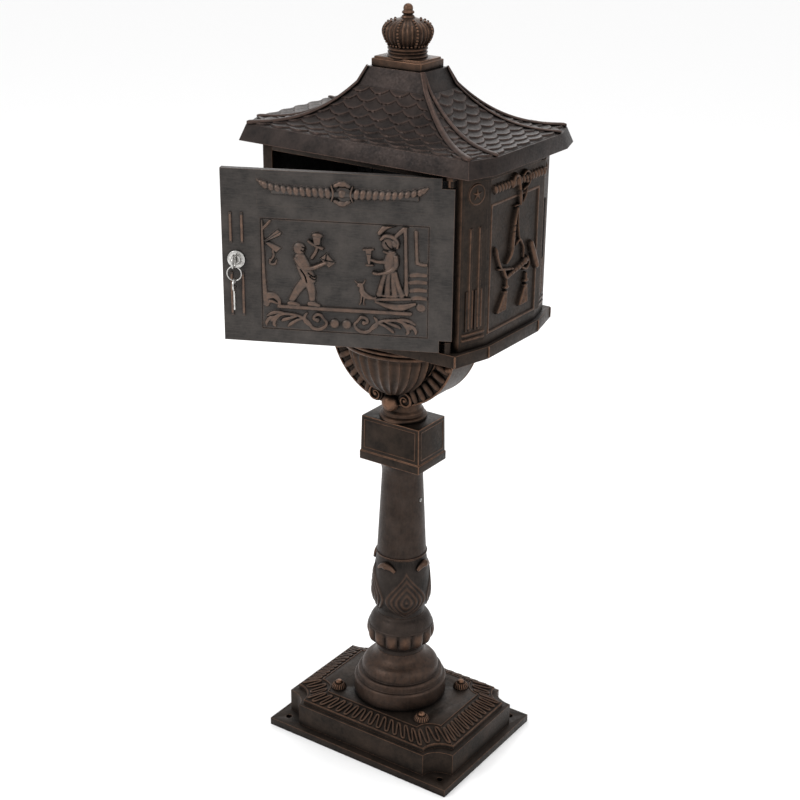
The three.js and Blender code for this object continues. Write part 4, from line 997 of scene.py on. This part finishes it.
# ---------------------------------------------------------------- the bracket
BOWL_Z, BOWL_R, BOWL_DEEP = 682.0, 110.0, 32.5
BULGE_REACH, BULGE_HALF = 52.0, 75.8
ARM_INNER = 82.0
TRAY_UNDERSIDE = 696.2
VOLUTE_X, VOLUTE_Z = 26.0, 584.5


def bracket_arms(pile):
    """The half-round cradle: its smooth outer band and the ribbed arms on both faces."""
    sweep = np.linspace(math.pi, 2 * math.pi, 73)

    def slab(y0, y1, inner, outer, rub_and_highlight):
        points = [(radius * math.cos(a), y, BOWL_Z + radius * math.sin(a)) for a in sweep
                  for radius, y in ((inner, y0), (outer, y0), (outer, y1), (inner, y1))]
        pile.add(points, quads(len(sweep), 4) + caps(len(sweep), 4), rub_and_highlight)

    slab(-BOWL_DEEP + 1.4, BOWL_DEEP - 1.4, 100, BOWL_R - 0.4, 0.05)
    for side in (-1, 1):
        y = side * BOWL_DEEP
        slab(*sorted((y - side * 5, y - side * 1.6)), 20, BOWL_R - 1, 0.0)
        for radius, thick in ((BOWL_R - 1.5, 1.9), (ARM_INNER, 1.6)):
            arc = [(radius * math.cos(a), y - side * 0.8, BOWL_Z + radius * math.sin(a)) for a in sweep]
            pile.add(*tube(arc, thick, 10, 1.0, (0, 1, 0)), 0.8)
        for degrees in [s * k for s in (-1, 1) for k in np.arange(24.5, 78, 8.8)]:
            a = math.radians(270 + degrees)
            line = [((r * math.cos(a)), y - side * 0.9, BOWL_Z + r * math.sin(a))
                    for r in np.linspace(ARM_INNER + 1, BOWL_R - 3, 8)]
            radii = 5.6 * np.array([0.6, 0.9, 1, 1, 1, 1, 0.9, 0.6])
            pile.add(*tube(line, radii, 12, 0.85, (0, 1, 0)), 0.35)


def bracket_tops(pile):
    """The straight cheeks between the cradle's ends and the tray."""
    def cheek(x0, x1, y0, y1, rub_and_highlight):
        corners = [(x, y, z) for z in (BOWL_Z - 3, TRAY_UNDERSIDE) for x, y in
                   ((x0, y0), (x1, y0), (x1, y1), (x0, y1))]
        pile.add(corners, quads(2, 4) + caps(2, 4), rub_and_highlight)

    for sx in (-1, 1):
        cheek(*sorted((sx * (BOWL_R - 9), sx * (BOWL_R - 0.4))), -BOWL_DEEP + 1.4, BOWL_DEEP - 1.4, 0.05)
        for side in (-1, 1):
            pile.add(*ball((sx * 99, side * 33.5, 649), 5.2, 8, 14), 0.8)
    for side in (-1, 1):
        y = side * BOWL_DEEP
        cheek(-BOWL_R + 1, BOWL_R - 1, *sorted((y - side * 5, y - side * 1.6)), 0.0)


def bracket_bowls(pile):
    """Half bowls with gadroons, under a rolled rim, on the front and the back."""
    profile = curve_through([(3, 590), (20, 592), (44, 605), (62, 624), (71, 644), (BULGE_HALF, 660)], 8)
    for side in (-1, 1):
        angles = np.linspace(0, math.pi, 121)
        points = []
        for r, z in profile:
            flute = 1 - 0.075 * np.abs(np.sin(angles * 13)) ** 0.6 * np.clip((r - 6) / 30, 0, 1)
            flute *= np.where(z > 654, 0.985, 1.0)
            rr = r * flute
            points.extend(np.stack([rr * np.cos(angles), side * (BOWL_DEEP - 3 + rr * np.sin(angles)
                          * BULGE_REACH / BULGE_HALF), np.full(len(angles), z)], 1))
        n = len(angles)
        faces = quads(len(profile), n, False) + caps(len(profile), n)
        faces.append(tuple(i * n for i in range(len(profile))))
        faces.append(tuple(i * n + n - 1 for i in range(len(profile)))[::-1])
        swell = np.tile(0.05 + 0.3 * (1 - np.abs(np.sin(angles * 13))), len(profile))
        pile.add(points, faces, swell)
        for scale, z, thick in ((1.01, 664, 3.6), (1.03, 671, 3.2), (1.0, 681, 7.0), (1.01, 690, 4.5)):
            wide, reach = BULGE_HALF * scale, BULGE_REACH * scale
            rim = [(wide * math.cos(a), side * (BOWL_DEEP - 3 + reach * math.sin(a)), z)
                   for a in np.linspace(0, math.pi, 81)]
            pile.add(*tube(rim, thick, 14, 1.0, UP + np.array([0, 0.001, 0])), 0.3 if thick > 4 else 0.5)


def spiral(centre, side, y, radius=11.0, turns=1.35):
    """A volute that unrolls outwards from its eye."""
    steps = 40
    points = []
    for i in range(steps):
        t = i / (steps - 1)
        a = math.radians(90) + side * (1 - t) * turns * 2 * math.pi
        r = 2.2 + (radius - 2.2) * t
        points.append((centre[0] + r * math.cos(a), y, centre[1] + r * math.sin(a)))
    return points


def bracket_scrolls(pile):
    for side in (-1, 1):
        y = side * (BOWL_DEEP + 2.2)
        for sx in (-1, 1):
            coil = spiral((sx * VOLUTE_X, VOLUTE_Z), -sx, y, 12.2)
            pile.add(*tube(coil, np.linspace(1.5, 2.3, len(coil)), 10, 1.2, (0, 1, 0)), 0.9)
            pile.add(*ball((sx * VOLUTE_X, y, VOLUTE_Z), 3.4, 8, 12), 0.9)
            disc = [(0, 0), (11.6, 0), (12, 1), (11.2, 2), (0, 2.2)]
            points, faces = turned_profile(pinholed(disc), 32)
            turned_out = np.stack([points[:, 0] + sx * VOLUTE_X, side * (BOWL_DEEP - 0.5 + points[:, 2]),
                                   points[:, 1] + VOLUTE_Z], 1)
            pile.add(turned_out, faces, 0.1)
        link = curve_through([(-VOLUTE_X, y, 596.7), (-14, y + side * 3, 597), (0, y + side * 6, 592.5),
                              (14, y + side * 3, 595), (VOLUTE_X, y, 596.7)], 8)
        pile.add(*tube(link, 2.3, 10, 1.0, (0, 1, 0)), 0.85)
        pile.add(*ball((0, side * (BOWL_DEEP + 1), 575.5), 13.5, 20, 32), 0.8)


def bracket():
    pile = Pile()
    bracket_arms(pile)
    bracket_tops(pile)
    bracket_bowls(pile)
    bracket_scrolls(pile)
    z = 543.5
    collar = rounded_profile([(0, z), (36, z), (36, z + 4.4), (33.6, z + 6.4), (31.4, z + 7.2),
                              (31.4, z + 11.6),
                              (27.4, z + 16), (27, z + 31), (14, z + 37.8), (0, z + 37.9)], 1.3)
    pile.add(*turned_profile(pinholed(collar), 96), 0.3)
    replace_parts(pile.make("bowl_bracket", BRONZE, "pedestal_box"), "support_bracket")


# ---------------------------------------------------------------- the column
BEADS = 14
BEAD_PHASE = math.radians(30)
LEAVES = 4


def column_foot():
    z = FOOT_Z + 0.05
    lower = rounded_profile([(0, z), (73, z), (73, 94.5), (71.2, 97), (67.6, 97.6), (67.6, 105.8),
                             (65.6, 108.6), (60.4, 109), (60.4, 117)], 1.4)
    bell = curve_through([(60.4, 117), (59, 121.5), (54.5, 127), (47.5, 131), (42, 135.5),
                          (38.6, 141), (37, 146.9)], 5)
    whole = lower[:-1] + [tuple(p) for p in bell] + [(0, 146.95)]
    pile = Pile()
    pile.add(*turned_profile(pinholed(whole), 144), 0.2)
    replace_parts(pile.make("turned_foot", SHAFT, "pedestal_box"), "column_foot")


def bead_collar():
    outline = curve_through([(36.6, 147.1), (37.2, 155), (41.5, 160.5), (45, 166), (46.6, 176),
                             (47.6, 185),
                             (49.6, 191.5), (48.4, 198), (44, 206), (38.8, 211), (37.2, 213.9)], 8)

    def radius_at(angles, z):
        r = np.interp(z, outline[:, 1], outline[:, 0])
        place = ((angles - BEAD_PHASE) / (2 * math.pi) * BEADS) % 1.0 - 0.5
        place = place * 2
        rise = (z - 176.5) / 14.0
        swell = np.cos(place * math.pi / 2) ** 0.6 * np.clip(1 - rise ** 2, 0, 1) ** 0.5
        ring = 1.5 * max(0.0, 1 - ((z - 191.3) / 1.6) ** 2)
        return r + 6.4 * swell + ring

    points, faces = turned(radius_at, np.linspace(147.1, 213.9, 96), 280)
    outer = np.hypot(points[:, 0], points[:, 1])
    base = np.interp(points[:, 2], outline[:, 1], outline[:, 0])
    rub_and_highlight = np.clip((outer - base) / 6.5, 0, 1) ** 2 * 0.55 + 0.04
    piece = add_mesh("beaded_collar", points, faces, SHAFT, "pedestal_box", rub_and_highlight, 70)
    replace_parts(piece, "bead_collar")


def leaf_vase():
    """Four leaves of nested outlines, with a rolled knob between each two."""
    outline = curve_through([(36.8, 214.1), (37, 222), (41, 230), (44.8, 241), (45.6, 251), (44.4, 270),
                             (42.2, 290), (39.8, 304), (38.2, 315.9)], 8)

    def leaf(angles, z):
        turn = ((angles - math.radians(45)) / (math.pi / 2)) % 1.0
        across = (turn - 0.5)
        across = np.where(turn > 0.5, turn - 1.0, turn) * 2
        height = (z - 218) / 88.0
        width = np.sin(np.clip(height, 0, 1) ** 0.72 * math.pi) ** 0.8 * 1.02 + 0.02
        return np.abs(across) / width, height

    def radius_at(angles, z):
        r = np.interp(z, outline[:, 1], outline[:, 0])
        share, height = leaf(angles, z)
        power = 1.25 if height > 0.34 else 2.0  # pointed above and round below
        level = (share ** power + abs((height - 0.34) / 0.62) ** power) ** (1 / power)
        lines = 0.5 + 0.5 * np.cos(level * 2 * math.pi * 4.6)
        inside = np.clip((1.02 - level) / 0.1, 0, 1)
        return r + inside * (0.6 + 1.1 * lines) * (0 < height < 1)

    points, faces = turned(radius_at, np.linspace(214.1, 315.9, 130), 340)
    outer = np.hypot(points[:, 0], points[:, 1])
    base = np.interp(points[:, 2], outline[:, 1], outline[:, 0])
    rub_and_highlight = np.clip((outer - base - 0.7) / 1.2, 0, 1) * 0.35
    pile = Pile()
    pile.add(points, faces, rub_and_highlight)
    for k in range(LEAVES):
        a = k * math.pi / 2
        out = np.array([math.sin(a), -math.cos(a), 0])
        along = np.array([math.cos(a), math.sin(a), 0])
        roll = curve_through([(-15, 40, 299), (-8, 41.5, 304.5), (0, 42, 306.5),
                              (8, 41.5, 304.5), (15, 40, 299)], 6)
        line = [out * p[1] + along * p[0] + UP * p[2] for p in roll]
        radii = np.interp(np.linspace(0, 1, len(line)), [0, 0.3, 0.5, 0.7, 1], [2.6, 4.6, 6.4, 4.6, 2.6])
        pile.add(*tube(line, radii, 14), 0.5)
    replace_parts(pile.make("leaf_clad_vase", SHAFT, "pedestal_box", sharp=70), "leaf_vase")


def column_shaft():
    outline = [(0.02, 316.1), (38.3, 316.1), (37.8, 325), (37, 340), (34.2, 395), (31.4, 450),
               (31.5, 457), (32.6, 463),
               (34.6, 468), (37.4, 472.4), (0.02, 472.5)]
    smooth = curve_through(outline[1:-1], 5)
    pile = Pile()
    pile.add(*turned_profile([outline[0], *[tuple(p) for p in smooth], outline[-1]], 144), 0.08)
    ring = [(38.6 * math.sin(a), -38.6 * math.cos(a), 318.6) for a in np.arange(96) * 2 * math.pi / 96]
    pile.add(*tube(ring, 1.3, 10, closed=True), 0.35)
    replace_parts(pile.make("tapered_shaft", SHAFT, "pedestal_box"), "column_shaft")


def block_frames():
    """The thin raised frames on the four faces of the block."""
    pile = Pile()
    z0, z1 = 493.0, 537.5
    for axis in (0, 1):
        reach, half = ((52.0, 29.5), (35.55, 45.5))[axis]
        for side in (-1, 1):
            lean = 0.75

            def at(u, z):
                out = reach - lean * (z - 487) / 56 + 0.1
                return (side * out, u, z) if axis == 0 else (u, side * out, z)

            loop = [(-half, z0), (half, z0), (half, z1), (-half, z1)]
            for (u0, a), (u1, b) in zip(loop, loop[1:] + loop[:1]):
                pile.add(*tube([at(u0, a), at(u1, b)], 1.0, 8, 1.0, (1, 1, 0.3)), 0.4)
    pile.make("block_face_frames", BRONZE, "pedestal_box")


# ---------------------------------------------------------------- the base
def corner_arc(x, y, scoop_x, scoop_y, sx, sy, steps, from_front):
    arc = []
    for i in range(steps):
        a = i / steps * math.pi / 2
        if from_front:
            arc.append((sx * (x - scoop_x * math.cos(a)), sy * (y - scoop_y * math.sin(a))))
        else:
            arc.append((sx * (x - scoop_x * math.sin(a)), sy * (y - scoop_y * math.cos(a))))
    return arc


def band_outline(x, y, scoop_x, scoop_y, long_side, short_side, scoop):
    """Points round the sloped band: front, right, back and left sides with a scoop after each."""
    points = []
    sides = [((-1, -1), (1, -1)), ((1, -1), (1, 1)), ((1, 1), (-1, 1)), ((-1, 1), (-1, -1))]
    for k, ((ax, ay), (bx, by)) in enumerate(sides):
        level = k % 2 == 0
        if level:
            start, end = (ax * (x - scoop_x), ay * y), (bx * (x - scoop_x), by * y)
        else:
            start, end = (ax * x, ay * (y - scoop_y)), (bx * x, by * (y - scoop_y))
        count = long_side if level else short_side
        for i in range(count):
            t = i / count
            points.append((start[0] + (end[0] - start[0]) * t, start[1] + (end[1] - start[1]) * t))
        points += corner_arc(x, y, scoop_x, scoop_y, bx, by, scoop, level)
    return np.array(points)


BAND_LOW, BAND_RISE = 54.0, 14.0


def serpentine():
    """One raised line that winds between the two edges of the sloped band."""
    long_side, short_side, scoop = 14, 11, 3
    fine = 24
    counts = (long_side * fine, short_side * fine, scoop * fine)
    outer = band_outline(149.3, 104.5, 34, 32, *counts)
    inner = band_outline(113, 77.5, 28, 24, *counts)
    total = len(outer)
    phase = np.arange(total) / fine * 2 * math.pi
    swing = np.tanh(2.6 * np.sin(phase)) / math.tanh(2.6)
    share = 0.47 + 0.33 * swing
    flat = outer * (1 - share)[:, None] + inner * share[:, None]
    z = BAND_LOW + BAND_RISE * share + 0.8
    line = np.column_stack([flat, z])
    pile = Pile()
    pile.add(*tube(line, 1.8, 10, 1.0, UP, True), 0.34)
    for share in (0.03, 0.97):
        edge = outer * (1 - share) + inner * share
        border = np.column_stack([edge, np.full(total, BAND_LOW + 0.2 + BAND_RISE * share)])
        pile.add(*tube(border, 1.1, 8, 1.0, UP, True), 0.4)
    pile.make("serpentine_band", BRONZE, "pedestal_box")


def rosettes():
    """Ribbed rings with a domed stud in the middle."""
    teeth = 18
    for number in range(1, 5):
        node = "base_rosette_%d" % number
        low, high = box_mm(node)
        centre = (low + high) / 2
        z = FOOT_Z
        outline = curve_through([(12.3, z + 0.05), (12.3, z + 1.8), (10.8, z + 5),
                                 (8.9, z + 7.6), (7.4, z + 8.4),
                                 (6.2, z + 7.2)], 5)

        def radius_at(angles, height_index):
            r = outline[height_index, 0]
            depth = 1.5 * np.clip((outline[height_index, 1] - z) / 3, 0, 1) * (r > 6.6)
            return r - depth * (0.5 - 0.5 * np.cos(angles * teeth)) ** 2

        sides = 180
        angles = np.arange(sides) * 2 * math.pi / sides
        points = []
        for i in range(len(outline)):
            r = radius_at(angles, i)
            points.extend(np.stack([centre[0] + r * np.sin(angles), centre[1] - r * np.cos(angles),
                                    np.full(sides, outline[i, 1])], 1))
        faces = quads(len(outline), sides) + caps(len(outline), sides)
        pile = Pile()
        rub_and_highlight = np.tile(0.15 + 0.7 * (0.5 + 0.5 * np.cos(angles * teeth)), len(outline))
        pile.add(points, faces, rub_and_highlight)
        knob = rounded_profile([(0.02, z + 6), (5.2, z + 6.4), (5.4, z + 10.6), (4.2, z + 12.6),
                                (0.02, z + 13.4)], 1.6)
        pile.add(*turned_profile(pinholed(knob), 36, centre[:2]), 0.9)
        piece = pile.make("rosette_%d" % number, BRONZE, "pedestal_box")
        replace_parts(piece, node)


def base():
    refined("base_plate", BRONZE, 1.1)
    serpentine()
    rosettes()


# ---------------------------------------------------------------- small metal parts
def fasteners():
    slots = {s["node"]: s["material_slot"] for s in frame["record"]["subparts"]}
    for node in NODES:
        if slots[node] == "steel_fastener":
            coat(node, STEEL)
    for node in ("door_hinge_pin_top", "door_hinge_pin_bottom"):
        coat(node, BRONZE)


# ---------------------------------------------------------------- camera, floor and lights
CAMERA_AT = Vector((1.20177, -1.77207, 1.45089))
YAW, PITCH, ROLL = (math.radians(a) for a in (34.28, -22.41, 0.65))
LENS = 69.93


def camera():
    data = bpy.data.cameras.new("camera")
    data.lens = LENS
    data.sensor_width = 36
    data.clip_end = 100
    view = bpy.data.objects.new("camera", data)
    flat = math.cos(PITCH)
    forward = Vector((-math.sin(YAW) * flat, math.cos(YAW) * flat, math.sin(PITCH)))
    level = Vector((math.cos(YAW), math.sin(YAW), 0))
    raised = level.cross(forward)
    right = math.cos(ROLL) * level + math.sin(ROLL) * raised
    up = math.cos(ROLL) * raised - math.sin(ROLL) * level
    turn = Matrix((right, up, -forward)).transposed().to_4x4()
    view.matrix_world = Matrix.Translation(CAMERA_AT) @ turn
    bpy.context.scene.collection.objects.link(view)
    bpy.context.scene.camera = view


def floor():
    size = 40.0
    mesh = bpy.data.meshes.new("floor")
    corners = [(-size, -size, 0), (size, -size, 0), (size, size, 0), (-size, size, 0)]
    mesh.from_pydata(corners, [], [(0, 1, 2, 3)])
    ground = bpy.data.objects.new("floor", mesh)
    ground.location.z = -0.0004
    bpy.context.scene.collection.objects.link(ground)
    material, _, shader = new_material("pale_floor")
    shader.inputs["Base Color"].default_value = (0.95, 0.95, 0.95, 1)
    shader.inputs["Roughness"].default_value = 0.9
    mesh.materials.append(material)


def soft_light(name, place, target, size, power):
    data = bpy.data.lights.new(name, "AREA")
    data.shape = "SQUARE"
    data.size = size
    data.energy = power
    lamp = bpy.data.objects.new(name, data)
    lamp.location = place
    lamp.rotation_euler = (Vector(target) - Vector(place)).to_track_quat("-Z", "Y").to_euler()
    bpy.context.scene.collection.objects.link(lamp)


def studio():
    world = bpy.data.worlds.new("studio")
    world.use_nodes = True
    world.node_tree.nodes["Background"].inputs[0].default_value = (1.0, 1.0, 1.0, 1)
    world.node_tree.nodes["Background"].inputs[1].default_value = 1.0
    bpy.context.scene.world = world
    bpy.context.scene.view_settings.view_transform = "Standard"
    middle = (0, 0, 0.7)
    soft_light("key", (-1.4, -2.6, 2.9), middle, 1.4, 46)
    soft_light("right", (2.8, -0.6, 2.0), middle, 1.2, 14)
    soft_light("top", (0.2, 0.5, 3.4), middle, 1.6, 20)
    soft_light("back", (-1.6, 2.6, 2.0), middle, 1.6, 14)


# ---------------------------------------------------------------- everything together
camera()
floor()
studio()
base()
column_foot()
bead_collar()
leaf_vase()
column_shaft()
refined("square_capital", BRONZE, 1.1)
block_frames()
bracket()
tray_beads()
box_shell()
door_picture()
door_garland()
door_bars()
lock_pieces()
roof()
crown()
fasteners()
